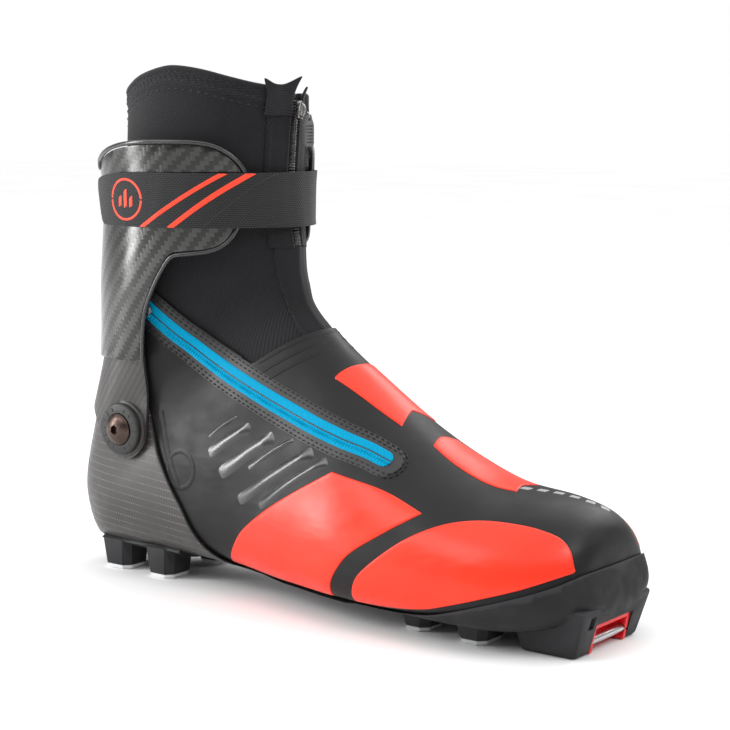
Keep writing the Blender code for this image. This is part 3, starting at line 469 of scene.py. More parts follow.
def ring_frames(height, skin, start, end, step=1.0):
    """Frames round the leg at a height, from one compass angle to another, in degrees.
    Angle 0 is the back, 90 lateral, 180 front. height is a number or a function of (x, y)."""
    middle = Vector((70.0, 0, 0))
    points = []
    count = int(abs(end - start) * 0.9 / step) + 2
    for k in range(count):
        a = math.radians(start + (end - start) * k / (count - 1))
        direction = Vector((-math.cos(a), -math.sin(a), 0))
        z = height if not callable(height) else 0
        for _ in range(3 if callable(height) else 1):
            if callable(height):
                z = height(*((middle + direction * 45) if z == 0 else hit).xy)
            hit, normal = skin.cast(middle + direction * 150 + Vector((0, 0, z)), -direction)
        points.append(hit)
    return frames_of(points, step, lambda p: skin.tree.find_nearest(p), skin)


def strip(name, frames, half, height, cross=12, skin=None, lift=0.0, uv_scale=1.0, ends=True):
    """A raised ribbon on the surface. height(s, t) in mm above it, s along and t across."""
    skin = skin or SKIN
    points, uvs = [], []
    length = 0.0
    rows = []
    for i, (p, normal, along, across) in enumerate(frames):
        if i:
            length += (p - frames[i - 1][0]).length
        row = []
        for k in range(cross + 1):
            t = half * (2 * k / cross - 1)
            q = p + across * t
            hit, _, index, _ = skin.tree.find_nearest(q)
            quad = skin.quads[index]
            near = [1 / ((Vector(skin.flat[m]) - hit).length + 1e-3) for m in quad]
            n = sum((Vector(skin.normals[m]) * w for m, w in zip(quad, near)), Vector())
            n.normalize()
            points.append(hit + n * (height(length, t) + lift))
            row.append((length * uv_scale, t * uv_scale))
        rows.append(row)
    wide = cross + 1
    faces = []
    for i in range(len(frames) - 1):
        for k in range(cross):
            faces.append((i * wide + k, i * wide + k + 1, (i + 1) * wide + k + 1,
                          (i + 1) * wide + k))
            uvs.append((rows[i][k], rows[i][k + 1], rows[i + 1][k + 1], rows[i + 1][k]))
    mesh = raw_mesh(name, points, faces, uvs)
    return new_object(name, mesh)


def tube(name, points, radius, sides=10, closed=False, squash_=1.0, normals=None):
    """A round or oval cord through the points, as a mesh."""
    pts = [Vector(p) for p in points]
    n = len(pts)
    verts, faces = [], []
    up = Vector((0.1, 0.2, 1)).normalized()
    for i, p in enumerate(pts):
        a = pts[(i - 1) % n] if closed or i else pts[0]
        b = pts[(i + 1) % n] if closed or i < n - 1 else pts[-1]
        along = (b - a).normalized()
        first = normals[i] if normals else up - along * up.dot(along)
        first = (first - along * first.dot(along)).normalized()
        second = along.cross(first)
        up = first
        for k in range(sides):
            a_ = 2 * math.pi * k / sides
            verts.append(p + first * math.cos(a_) * radius * squash_
                         + second * math.sin(a_) * radius)
    for i in range(n if closed else n - 1):
        for k in range(sides):
            a, b = i * sides, (i + 1) % n * sides
            faces.append((a + k, a + (k + 1) % sides, b + (k + 1) % sides, b + k))
    if not closed:
        faces.append(tuple(range(sides))[::-1])
        faces.append(tuple((n - 1) * sides + k for k in range(sides)))
    mesh = raw_mesh(name, verts, faces)
    work = bmesh.new()
    work.from_mesh(mesh)
    bmesh.ops.recalc_face_normals(work, faces=work.faces)
    work.to_mesh(mesh)
    work.free()
    return new_object(name, mesh)


def stitches(name, rows, length=2.2, gap=1.0, radius=0.28, lift=0.12):
    """Thread stitches along rows of frames, as one mesh of short rounded dashes."""
    verts, faces = [], []
    for frames in rows:
        travelled, done = 0.0, 0.0
        for (p, normal, along, across), (q, *_rest) in zip(frames[:-1], frames[1:]):
            travelled += (q - p).length
            if travelled < done:
                continue
            done = travelled + length + gap
            base = len(verts)
            for e, r in ((-0.5, 0.35), (-0.36, 0.9), (0.0, 1.1), (0.36, 0.9), (0.5, 0.35)):
                dip = (abs(e) * 2) ** 3 * radius * 1.2
                centre = p + along * e * length + normal * (lift - dip)
                for k in range(6):
                    a = math.pi / 3 * k
                    verts.append(centre + (normal * math.cos(a) + across * math.sin(a))
                                 * radius * r)
            for i in range(4):
                for k in range(6):
                    a, b = base + i * 6 + k, base + i * 6 + (k + 1) % 6
                    faces.append((a, b, b + 6, a + 6))
            faces.append(tuple(base + k for k in range(6))[::-1])
            faces.append(tuple(base + 24 + k for k in range(6)))
    return new_object(name, raw_mesh(name, verts, faces))


def shifted(frames, t, skin=None):
    """Frames moved across by t and back onto the surface."""
    skin = skin or SKIN
    return frames_of([skin.tree.find_nearest(p + across * t)[0] for p, _, _, across in frames],
                     0.8, lambda p: skin.tree.find_nearest(p), skin)


def inside(points, outline):
    """Which points lie in a closed outline, and every point's distance from its edge."""
    pts, ring = np.asarray(points, float), np.asarray(outline, float)
    a, b = ring, np.roll(ring, -1, axis=0)
    span = b - a
    rel = pts[:, None] - a[None]
    t = np.clip((rel * span).sum(2) / np.maximum((span**2).sum(1), 1e-9), 0, 1)
    gap = np.sqrt(((rel - t[:, :, None] * span) ** 2).sum(2)).min(axis=1)
    up = (a[None, :, 1] > pts[:, None, 1]) != (b[None, :, 1] > pts[:, None, 1])
    with np.errstate(divide="ignore", invalid="ignore"):
        cross = (b[:, 0] - a[:, 0]) * (pts[:, None, 1] - a[:, 1]) / (b[:, 1] - a[:, 1]) + a[:, 0]
    odd = (up & (pts[:, None, 0] < cross)).sum(1) % 2 == 1
    return odd, gap


def patch(name, outline, cast, height=0.45, edge=0.7, step=1.6, sink=0.3, rough_edge=None,
          relief=None):
    """A film laid on a skin inside a flat outline, its edge rounded down into the skin."""
    ring = np.array(outline, float)
    area = (ring[:, 0] * np.roll(ring[:, 1], -1) - np.roll(ring[:, 0], -1) * ring[:, 1]).sum()
    if area < 0:
        ring = ring[::-1]
    low, high = ring.min(axis=0), ring.max(axis=0)
    grid = [(x + (step / 2 if j % 2 else 0), y)
            for j, y in enumerate(np.arange(low[1], high[1], step * 0.87))
            for x in np.arange(low[0], high[0], step)]
    odd, gap = inside(grid, ring)
    points = [tuple(p) for p, o, g in zip(grid, odd, gap) if o and g > edge + step * 0.4]
    ahead = np.roll(ring, -1, axis=0) - np.roll(ring, 1, axis=0)
    inward = np.stack([-ahead[:, 1], ahead[:, 0]], axis=1)
    inward /= np.maximum(np.linalg.norm(inward, axis=1, keepdims=True), 1e-9)
    for share in (0.15, 0.45, 1.0):
        loop = ring + inward * edge * share
        odd, gap = inside(loop, ring)
        points += [tuple(p) for p, o, g in zip(loop, odd, gap)
                   if o and g > edge * share * 0.9]
    count = len(ring)
    everything = [Vector(p) for p in ring] + [Vector(p) for p in points]
    border = [(i, (i + 1) % count) for i in range(count)]
    flat, _, faces, *_rest = mathutils_cdt(everything, border, [list(range(count))], 1, 1e-4)
    _, gap = inside(flat, ring)
    rise = np.minimum(gap / edge, 1)
    rise = height * np.sqrt(np.maximum(1 - (1 - rise) ** 2, 0)) - sink * (gap < 1e-3)
    verts = []
    for p, h in zip(flat, rise):
        hit, normal = cast(p.x, p.y)
        verts.append(hit + normal * (h + (relief(p.x, p.y) if relief else 0)))
    uvs = [[tuple(flat[k]) for k in face] for face in faces]
    mesh = raw_mesh(name, verts, [tuple(f) for f in faces], uvs)
    mesh.update()
    if len(mesh.polygons):
        middle = max(range(len(flat)), key=lambda k: gap[k])
        _, normal = cast(*flat[middle])
        near = min(mesh.polygons, key=lambda f: (f.center - verts[middle]).length)
        if near.normal.dot(normal) < 0:
            mesh.flip_normals()
    return new_object(name, mesh)


def mathutils_cdt(*given):
    from mathutils.geometry import delaunay_2d_cdt
    return delaunay_2d_cdt(*given)


def side_cast(skin, side=-1):
    return lambda x, z: skin.side(x, z, side)


def top_cast(skin):
    return lambda x, y: skin.top(x, y)


def lathe(name, profile, centre, side, sides=64):
    """A turned piece about an axis along Y. Profile is (radius, height), outwards."""
    points, faces = [], []
    cx, cy, cz = centre
    for r, h in profile:
        for k in range(sides):
            a = 2 * math.pi * k / sides
            points.append((cx + r * math.cos(a), cy + side * h, cz + r * math.sin(a)))
    rings = len(profile)
    for i in range(rings - 1):
        for k in range(sides):
            a, b = i * sides + k, i * sides + (k + 1) % sides
            faces.append((a, b, b + sides, a + sides))
    faces.append(tuple(range(sides)))
    faces.append(tuple((rings - 1) * sides + k for k in range(sides)))
    mesh = raw_mesh(name, points, faces)
    work = bmesh.new()
    work.from_mesh(mesh)
    bmesh.ops.remove_doubles(work, verts=work.verts, dist=1e-4)
    bmesh.ops.recalc_face_normals(work, faces=work.faces)
    work.to_mesh(mesh)
    work.free()
    return new_object(name, mesh)


def joined(name, objects):
    """Several objects as one mesh, keeping UVs."""
    keep = objects[0]
    if len(objects) > 1:
        with bpy.context.temp_override(active_object=keep, selected_editable_objects=objects,
                                       selected_objects=objects, object=keep):
            bpy.ops.object.join()
    keep.name = name
    keep.data.name = name
    return keep


def puff(obj, cap=1.2, pressure=4.0):
    """Swells a padded piece with Cloth, then keeps each point within cap of where it was."""
    place(obj.data)
    before = [v.co.copy() for v in obj.data.vertices]
    step = obj.modifiers.new("swell", "CLOTH")
    step.settings.use_pressure = True
    step.settings.uniform_pressure_force = pressure
    step.settings.effector_weights.gravity = 0
    step.settings.tension_stiffness = step.settings.compression_stiffness = 30
    step.settings.quality = 4
    step.point_cache.frame_start, step.point_cache.frame_end = 1, 20
    for at in range(1, 21):
        bpy.context.scene.frame_set(at)
    bake(obj)
    bpy.context.scene.frame_set(1)
    for vert, old in zip(obj.data.vertices, before):
        moved = vert.co - old
        if moved.length > cap * MM:
            vert.co = old + moved.normalized() * cap * MM
    obj.data.transform(Matrix.Translation((FRAME_X, FRAME_Y, 0)) @ Matrix.Scale(1 / MM, 4))
    return obj


# ---------------------------------------------------------------- materials


class Paint:
    """A material made of nodes, with a few helpers for patterns and bumps."""

    def __init__(self, name, colour, rough, metal=0.0, spec=0.5, coat=0.0, coat_rough=0.1,
                 sheen=0.0, sheen_rough=0.5):
        self.mat = bpy.data.materials.new(name)
        self.mat.use_nodes = True
        self.tree = self.mat.node_tree
        self.shader = self.tree.nodes["Principled BSDF"]
        for key, value in (("Base Color", (*colour, 1)), ("Roughness", rough),
                           ("Metallic", metal), ("Specular IOR Level", spec),
                           ("Coat Weight", coat), ("Coat Roughness", coat_rough),
                           ("Sheen Weight", sheen), ("Sheen Roughness", sheen_rough)):
            self.shader.inputs[key].default_value = value
        self.mat.diffuse_color = (*colour, 1)
        self.colour = colour
        self.coords = self.tree.nodes.new("ShaderNodeTexCoord")
        self.normal = None

    def math(self, kind, a, b=None):
        node = self.tree.nodes.new("ShaderNodeMath")
        node.operation = kind
        for k, value in enumerate((a, b)):
            if value is None:
                continue
            if isinstance(value, (int, float)):
                node.inputs[k].default_value = value
            else:
                self.tree.links.new(value, node.inputs[k])
        return node.outputs[0]

    def space(self, kind="Object", scale=(1, 1, 1), turn=0.0):
        node = self.tree.nodes.new("ShaderNodeMapping")
        node.inputs["Scale"].default_value = scale
        node.inputs["Rotation"].default_value = (0, 0, math.radians(turn))
        self.tree.links.new(self.coords.outputs[kind], node.inputs["Vector"])
        return node.outputs[0]

    def split(self, vector):
        node = self.tree.nodes.new("ShaderNodeSeparateXYZ")
        self.tree.links.new(vector, node.inputs[0])
        return node.outputs

    def noise(self, scale, detail=3.0, rough=0.5, vector=None):
        node = self.tree.nodes.new("ShaderNodeTexNoise")
        node.inputs["Scale"].default_value = scale
        node.inputs["Detail"].default_value = detail
        node.inputs["Roughness"].default_value = rough
        self.tree.links.new(vector or self.coords.outputs["Object"], node.inputs["Vector"])
        return node.outputs["Fac"]

    def ramp(self, value, low, high, start=0.0, end=1.0):
        node = self.tree.nodes.new("ShaderNodeMapRange")
        node.interpolation_type = "SMOOTHSTEP"
        self.tree.links.new(value, node.inputs["Value"])
        for key, number in (("From Min", low), ("From Max", high), ("To Min", start),
                            ("To Max", end)):
            node.inputs[key].default_value = number
        return node.outputs[0]

    def mix(self, value, first, second):
        node = self.tree.nodes.new("ShaderNodeMix")
        node.data_type = "RGBA"
        self.tree.links.new(value, node.inputs["Factor"])
        for socket, colour in ((node.inputs[6], first), (node.inputs[7], second)):
            if isinstance(colour, tuple):
                socket.default_value = (*colour, 1)
            else:
                self.tree.links.new(colour, socket)
        return node.outputs[2]

    def base(self, output):
        self.tree.links.new(output, self.shader.inputs["Base Color"])
        return self

    def roughness(self, output):
        self.tree.links.new(output, self.shader.inputs["Roughness"])
        return self

    def bump(self, height, strength=0.3, distance=0.0003):
        node = self.tree.nodes.new("ShaderNodeBump")
        node.inputs["Strength"].default_value = strength
        node.inputs["Distance"].default_value = distance
        self.tree.links.new(height, node.inputs["Height"])
        if self.normal:
            self.tree.links.new(self.normal, node.inputs["Normal"])
        self.normal = node.outputs[0]
        self.tree.links.new(self.normal, self.shader.inputs["Normal"])
        return self

    def edges(self, base, edge_highlight, low=0.52, high=0.6):
        """Painted highlight: lighter colour where the surface turns a convex corner."""
        node = self.tree.nodes.new("ShaderNodeNewGeometry")
        return self.mix(self.ramp(node.outputs["Pointiness"], low, high), base, edge_highlight)

    def lines(self, period, turn=0.0, kind="UV"):
        """Even waves across, 0 to 1, one for each period in millimetres of UV."""
        u = self.split(self.space(kind, (1 / period,) * 3, turn))[0]
        return self.math("MULTIPLY_ADD", self.math("SINE", self.math("MULTIPLY", u, 2 * math.pi)),
                         0.5) if False else self.half_wave(u)

    def half_wave(self, u):
        wave = self.math("SINE", self.math("MULTIPLY", u, 2 * math.pi))
        return self.math("ADD", self.math("MULTIPLY", wave, 0.5), 0.5)


def knit_paint(name, colour=(0.0105, 0.0105, 0.012), turn=38.0):
    """Fine diagonal knit with fuzz. Loop crowns are painted lighter and the hollows between loops
    darker, a painted highlight and painted shade of the knit's relief.
    """
    p = Paint(name, colour, 0.86, spec=0.25, sheen=0.12, sheen_rough=0.45)
    rib = p.lines(1.15, turn)
    cross = p.lines(0.8, turn + 90)
    loops = p.math("MULTIPLY", rib, p.ramp(cross, 0, 1, 0.6, 1.0))
    cloud = p.noise(90, 3)
    lit_loop_tone = tuple(c * 1.6 for c in colour)
    # painted highlight on the loop crowns and painted shade between the loops; the cloud below lightens
    # at random
    shade = p.mix(p.ramp(loops, 0.1, 1.0), tuple(c * 0.55 for c in colour), lit_loop_tone)
    p.base(p.mix(p.ramp(cloud, 0.35, 0.7, 0.0, 0.35), shade, tuple(c * 1.3 for c in lit_loop_tone)))
    p.roughness(p.ramp(cloud, 0.3, 0.7, 0.8, 0.92))
    p.bump(loops, 0.45, 0.0003)
    p.bump(p.noise(900, 2), 0.15, 0.0002)
    return p.mat


def film_paint(name, colour, rough, coat=0.0, wrinkles=0.12, spread=0.06, spec=0.5):
    """Polyurethane film over foam: fine grain, soft creases and uneven gloss."""
    p = Paint(name, colour, rough, spec=spec, coat=coat, coat_rough=0.22)
    cloud = p.noise(26, 4)
    p.base(p.mix(p.ramp(cloud, 0.3, 0.72), tuple(c * 0.9 for c in colour),
                 tuple(min(c * 1.1, 1) for c in colour)))
    p.roughness(p.ramp(p.noise(60, 3), 0.3, 0.7, rough - spread, rough + spread))
    p.bump(p.noise(38, 2, vector=p.space("Object", (1, 0.7, 2.2))), wrinkles, 0.0016)
    p.bump(p.noise(1800, 2), 0.12, 0.0001)
    return p.mat


def twill_paint(name, colour, rough, coat, tow=2.1, strength=0.35, glint_contrast=(0.55, 1.9),
                metal=0.15):
    """2x2 twill carbon in clear resin: tows cross under a gloss that stays smooth. Tows running one way
    are painted lighter than those crossing them, a painted reflection of how the tows catch the light.
    """
    p = Paint(name, colour, rough, metal=metal, spec=0.6, coat=coat, coat_rough=0.2)
    axes = p.split(p.space("UV", (1 / tow,) * 3, 0))
    u, v = axes[0], axes[1]
    cell = p.math("SUBTRACT", p.math("FLOOR", u), p.math("FLOOR", v))
    phase = p.math("FLOORED_MODULO", cell, 4.0)
    warp = p.math("LESS_THAN", phase, 1.5)
    across = p.mix(warp, p.math("FRACT", u), p.math("FRACT", v))
    bulge = p.math("SINE", p.math("MULTIPLY", across, math.pi))
    # painted reflection: tows running one way take the lighter colour and the crossing tows the darker
    # one, as the tows would catch the light
    dark = tuple(c * glint_contrast[0] for c in colour)
    glinting_tow = tuple(c * glint_contrast[1] for c in colour)
    strand = p.noise(1400, 2, vector=p.space("Object", (1, 1, 0.15)))
    tone = p.mix(warp, glinting_tow, dark)
    tone = p.mix(p.ramp(strand, 0.3, 0.75, 0.0, 0.45), tone, colour)
    p.base(p.mix(p.ramp(p.noise(14, 3), 0.35, 0.7, 0.0, 0.5), tone, dark))
    p.roughness(p.mix(warp, p.ramp(strand, 0.3, 0.7, rough, rough + 0.1),
                      p.ramp(strand, 0.3, 0.7, rough + 0.12, rough + 0.2)))
    p.bump(bulge, strength, 0.00018)
    return p.mat


def heel_paint(name, colour):
    """Satin carbon of the heel, with rows of small light ends in the weave."""
    p = Paint(name, colour, 0.4, metal=0.1, spec=0.45, coat=0.15, coat_rough=0.35)
    place_ = p.space("Object", (1000, 1000, 1000))
    axes = p.split(place_)
    slope = p.math("ADD", axes[2], p.math("MULTIPLY", axes[0], 0.07))
    row = p.math("FRACT", p.math("MULTIPLY", slope, 1 / 3.8))
    near_row = p.ramp(p.math("ABSOLUTE", p.math("SUBTRACT", row, 0.5)), 0.03, 0.085, 1.0, 0.0)
    reach = p.math("ADD", axes[0], p.math("MULTIPLY", axes[1], 0.35))
    dot = p.math("FRACT", p.math("MULTIPLY", reach, 1 / 1.7))
    near_dot = p.ramp(p.math("ABSOLUTE", p.math("SUBTRACT", dot, 0.5)), 0.14, 0.3, 1.0, 0.0)
    patchy = p.ramp(p.noise(60, 3), 0.3, 0.6, 0.25, 1.0)
    dots = p.math("MULTIPLY", p.math("MULTIPLY", near_row, near_dot), patchy)
    weave = p.lines(1.4, 90, "UV")
    shade = p.mix(p.ramp(weave, 0, 1, 0.0, 0.35), colour, tuple(c * 0.72 for c in colour))
    shade = p.mix(p.ramp(p.noise(24, 4), 0.35, 0.7, 0.0, 0.4), shade,
                  tuple(c * 1.35 for c in colour))
    p.base(p.mix(p.math("MULTIPLY", dots, 0.55), shade, (0.33, 0.31, 0.29)))
    p.roughness(p.ramp(p.noise(200, 2), 0.3, 0.7, 0.34, 0.46))
    p.bump(weave, 0.12, 0.00012)
    return p.mat


def rubber_paint(name, colour=(0.011, 0.011, 0.012), rough=0.6):
    p = Paint(name, colour, rough, spec=0.28)
    cloud = p.noise(40, 4)
    shade = p.mix(p.ramp(cloud, 0.3, 0.7), tuple(c * 0.85 for c in colour),
                  tuple(c * 1.25 for c in colour))
    # painted highlight: the convex edges take a lighter colour
    p.base(p.edges(shade, tuple(c * 2.2 for c in colour)))
    p.roughness(p.ramp(p.noise(120, 3), 0.3, 0.7, rough - 0.08, rough + 0.08))
    p.bump(p.noise(1500, 3), 0.25, 0.00012)
    return p.mat


def plastic_paint(name, colour, rough=0.4, metal=0.0, grain=0.12, edge_highlight=1.6, coat=0.0):
    p = Paint(name, colour, rough, metal=metal, coat=coat)
    shade = p.mix(p.ramp(p.noise(50, 3), 0.3, 0.7), tuple(c * 0.9 for c in colour),
                  tuple(min(c * 1.1, 1) for c in colour))
    # painted highlight: the convex edges take a lighter colour
    p.base(p.edges(shade, tuple(min(c * edge_highlight, 1) for c in colour)))
    p.roughness(p.ramp(p.noise(300, 3), 0.3, 0.7, max(rough - 0.06, 0.05), rough + 0.06))
    p.bump(p.noise(2200, 2), grain, 0.0001)
    return p.mat


def metal_paint(name, colour, rough=0.25, scratch=0.15):
    p = Paint(name, colour, rough, metal=1.0)
    lines = p.noise(900, 4, vector=p.space("Object", (1, 0.06, 1)))
    p.base(p.mix(p.ramp(p.noise(80, 3), 0.3, 0.7), tuple(c * 0.86 for c in colour), colour))
    p.roughness(p.ramp(lines, 0.3, 0.7, rough - 0.06, rough + 0.12))
    p.bump(lines, scratch, 0.00006)
    return p.mat


def weave_paint(name, colour, along=1.0, across=1.6, rough=0.75, strength=0.5, sheen=0.15,
                spec=0.3):
    """Plain woven narrow fabric from UV: threads along, picks across. Thread crowns are painted lighter
    and the gaps between threads darker, a painted highlight and painted shade of the weave's relief.
    """
    p = Paint(name, colour, rough, spec=spec, sheen=sheen, sheen_rough=0.4)
    axes = p.split(p.space("UV", (1 / across, 1 / along, 1)))
    shift = p.math("MULTIPLY", p.math("FLOORED_MODULO", p.math("FLOOR", axes[1]), 2.0), 0.5)
    over = p.half_wave(p.math("ADD", axes[0], shift))
    thread = p.math("SINE", p.math("MULTIPLY", p.math("FRACT", axes[1]), math.pi))
    height = p.math("MULTIPLY", p.ramp(over, 0, 1, 0.35, 1.0), thread)
    # painted highlight on the thread crowns and painted shade in the gaps between threads
    shade = p.mix(height, tuple(c * 0.4 for c in colour), tuple(c * 1.5 for c in colour))
    p.base(p.mix(p.ramp(p.noise(60, 3), 0.35, 0.7, 0.0, 0.3), shade, colour))
    p.roughness(p.ramp(height, 0, 1, rough + 0.1, rough - 0.1))
    p.bump(height, strength, 0.00028)
    return p.mat


def fuzz_paint(name, colour, scale=1300):
    p = Paint(name, colour, 0.95, spec=0.15, sheen=0.35, sheen_rough=0.6)
    fibre = p.noise(scale, 4, 0.65)
    p.base(p.mix(p.ramp(fibre, 0.3, 0.75), tuple(c * 0.5 for c in colour),
                 tuple(c * 1.6 for c in colour)))
    p.roughness(p.ramp(fibre, 0.3, 0.7, 0.88, 0.98))
    p.bump(fibre, 0.6, 0.0004)
    return p.mat


KNIT = knit_paint("knit", (0.009, 0.009, 0.0105))
RIM_KNIT = knit_paint("rim_binding", (0.012, 0.012, 0.014), turn=80)
LINER = fuzz_paint("liner_fabric", (0.02, 0.02, 0.022))
SHELL = film_paint("shell_film", (0.0095, 0.0095, 0.0099), 0.42, wrinkles=0.35, spec=0.22)
GLOSSY = film_paint("glossy_rib_film", (0.018, 0.018, 0.019), 0.3, coat=0.6, wrinkles=0.3)
RED = film_paint("red_film", (0.9, 0.033, 0.01), 0.36, coat=0.25, wrinkles=0.55, spec=0.22)
DASH = film_paint("reflective_film", (0.3, 0.3, 0.31), 0.35, wrinkles=0.05)
WELT = film_paint("zip_welt_film", (0.016, 0.016, 0.017), 0.5, wrinkles=0.05)
TWILL = twill_paint("carbon_twill", (0.019, 0.0186, 0.017), 0.3, 1.0, tow=2.1, glint_contrast=(0.08, 2.7),
                    metal=0.95)
YOKE_CARBON = twill_paint("yoke_carbon", (0.036, 0.033, 0.0315), 0.36, 0.2, tow=0.9,
                          strength=0.2, glint_contrast=(0.8, 1.35))
HEEL = heel_paint("heel_carbon", (0.036, 0.0325, 0.031))
BEAD = plastic_paint("cuff_edge_resin", (0.013, 0.013, 0.0135), 0.26, coat=0.35)
RUBBER = rubber_paint("sole_rubber")
TIP = plastic_paint("lug_tip_plastic", (0.5, 0.51, 0.52), 0.36, edge_highlight=1.2)
WHITE_TIP = plastic_paint("heel_tip_plastic", (0.72, 0.73, 0.74), 0.4, edge_highlight=1.1)
POCKET = plastic_paint("pocket_plastic", (0.72, 0.005, 0.009), 0.34, coat=0.1, edge_highlight=1.1)
STEEL = metal_paint("bar_steel", (0.6, 0.6, 0.61), 0.24)
ZIP_METAL = metal_paint("zip_metal", (0.36, 0.35, 0.34), 0.27)
BOLT = metal_paint("bolt_metal", (0.085, 0.06, 0.052), 0.3)
DIAL = plastic_paint("dial_plastic", (0.011, 0.0105, 0.0102), 0.5, edge_highlight=2.0)
MARK = plastic_paint("dial_marks", (0.012, 0.012, 0.012), 0.5)
NYLON = plastic_paint("bush_nylon", (0.45, 0.44, 0.41), 0.45)
BLUE = weave_paint("blue_zip_tape", (0.0, 0.3, 0.52), along=0.55, across=0.8, rough=0.5,
                   strength=0.12, sheen=0.0, spec=0.06)
BLACK_COIL = plastic_paint("black_coil", (0.008, 0.008, 0.009), 0.35)
PULLER = plastic_paint("puller_plastic", (0.06, 0.06, 0.062), 0.45)
STRAP = weave_paint("strap_webbing", (0.021, 0.0215, 0.023), along=0.9, across=1.5, strength=0.6)
STRIPE = film_paint("stripe_film", (0.93, 0.065, 0.028), 0.5, wrinkles=0.04, spec=0.3)
HOOK = fuzz_paint("hook_fastener", (0.03, 0.03, 0.032), 2000)
THREAD = weave_paint("thread", (0.02, 0.02, 0.021), 0.3, 0.5, 0.7, 0.2)
DARK_THREAD = plastic_paint("dark_thread", (0.004, 0.004, 0.0045), 0.6)
FOOTBED = fuzz_paint("footbed_felt", (0.055, 0.06, 0.075))
BOARD = fuzz_paint("board_fibre", (0.2, 0.18, 0.15))
LACE = weave_paint("lace_cord", (0.07, 0.07, 0.075), 0.6, 0.9)
WEB = weave_paint("facing_webbing", (0.03, 0.03, 0.032))

# ---------------------------------------------------------------- camera, light and floor


SKY_LIGHT, ROOM_LIGHT = 2.6, 0.4


def build_stage():
    camera = bpy.data.cameras.new("camera")
    camera.lens = 1900 * 36 / 730
    camera.sensor_width = 36
    camera.clip_start, camera.clip_end = 0.05, 20
    eye = new_object("camera", camera)
    eye.location = (0.54974, -0.70861, 0.2334)
    eye.rotation_euler = (math.radians(90) - 0.1334, 0, math.radians(37))
    bpy.context.scene.camera = eye

    floor = bpy.data.meshes.new("floor")
    floor.from_pydata([(x, y, 0.0) for x, y in ((-6, -6), (6, -6), (6, 6), (-6, 6))], [],
                      [(0, 1, 2, 3)])
    ground = new_object("floor", floor)
    white = Paint("floor_white", (0.82, 0.82, 0.82), 0.9, spec=0.1)
    white.base(white.mix(white.ramp(white.noise(3, 2), 0.3, 0.7), (0.81, 0.81, 0.81),
                         (0.83, 0.83, 0.83)))
    floor.materials.append(white.mat)

    for name, at, size, power in (("heel", (-1.02, -0.84, 0.46), (0.3, 0.9), 13),
                                  ("key", (-0.5, -1.25, 1.1), (0.7, 0.7), 4.5),
                                  ("front", (1.3, 0.1, 1.1), (0.9, 0.5), 6),
                                  ("back", (0.2, 1.3, 0.9), (1.0, 0.8), 8)):
        light = bpy.data.lights.new(name, "AREA")
        light.shape = "RECTANGLE"
        light.size, light.size_y = size
        light.energy = power
        lamp = new_object(name, light)
        lamp.visible_camera = False
        lamp.location = at
        lamp.rotation_euler = (Vector((0, 0, 0.1)) - Vector(at)).to_track_quat("-Z", "Y").to_euler()
    sky = bpy.data.lights.new("sky", "SUN")
    sky.energy = SKY_LIGHT
    sky.angle = math.radians(110)
    new_object("sky", sky)
    bpy.context.scene.view_settings.view_transform = "Standard"
    world = bpy.data.worlds.new("studio")
    world.use_nodes = True
    tree = world.node_tree
    seen = tree.nodes.new("ShaderNodeLightPath")
    strength = tree.nodes.new("ShaderNodeMapRange")
    strength.inputs["To Min"].default_value = ROOM_LIGHT
    strength.inputs["To Max"].default_value = 1.0
    tree.links.new(seen.outputs["Is Camera Ray"], strength.inputs["Value"])
    tree.links.new(strength.outputs[0], tree.nodes["Background"].inputs["Strength"])
    tree.nodes["Background"].inputs["Color"].default_value = (1, 1, 1, 1)
    bpy.context.scene.world = world


# ---------------------------------------------------------------- the sole and its hardware

FORE_LUGS = ((205, 219, -31, -14), (205, 219, 13, 27), (237, 252, -34, -15), (237, 252, 14, 30))
HEEL_LUGS = ((12, 29, -26, -9), (12, 29, 9, 25), (44, 60, -28, -10), (44, 60, 10, 27))
BAR = (293.5, 5.6, 1.98)


def lug_prism(lug, bottom, top, grow, corner, shrink):
    """An eight-sided block that narrows towards the ground."""
    x0, x1, y0, y1 = lug
    levels = []
    for z, add in ((bottom, grow - shrink), (top, grow)):
        a, b, c, d = x0 - add, x1 + add, y0 - add, y1 + add
        k = corner
        levels.append([(a + k, c, z), (b - k, c, z), (b, c + k, z), (b, d - k, z), (b - k, d, z),
                       (a + k, d, z), (a, d - k, z), (a, c + k, z)])
    points = levels[0] + levels[1]
    faces = [tuple(range(8))[::-1], tuple(range(8, 16))]
    faces += [(i, (i + 1) % 8, (i + 1) % 8 + 8, i + 8) for i in range(8)]
    return new_object("lug", raw_mesh("lug", points, faces))


def toe_block():
    obj = block((262, -30.5, 0), (301, 29, 22), 2.6)
    for vert in obj.data.vertices:
        if vert.co.z < 10 and vert.co.x > 280:
            vert.co.x -= 4
        if vert.co.z < 10 and vert.co.x < 270:
            vert.co.x += 2.5
    return bevel(obj, 2.2, 3)


def foot_solid(amount, low=0.0, high=0.95):
    rows = row_range(low, high)
    points = offset_grid(amount)[rows].reshape(-1, 3)
    faces = [(i * RING + j, i * RING + (j + 1) % RING, (i + 1) * RING + (j + 1) % RING,
              (i + 1) * RING + j) for i in range(len(rows) - 1) for j in range(RING)]
    faces += [tuple(range(RING))[::-1],
              tuple((len(rows) - 1) * RING + j for j in range(RING))]
    mesh = raw_mesh("foot", points, faces)
    work = bmesh.new()
    work.from_mesh(mesh)
    bmesh.ops.recalc_face_normals(work, faces=work.faces)
    work.to_mesh(mesh)
    work.free()
    return new_object("foot", mesh)


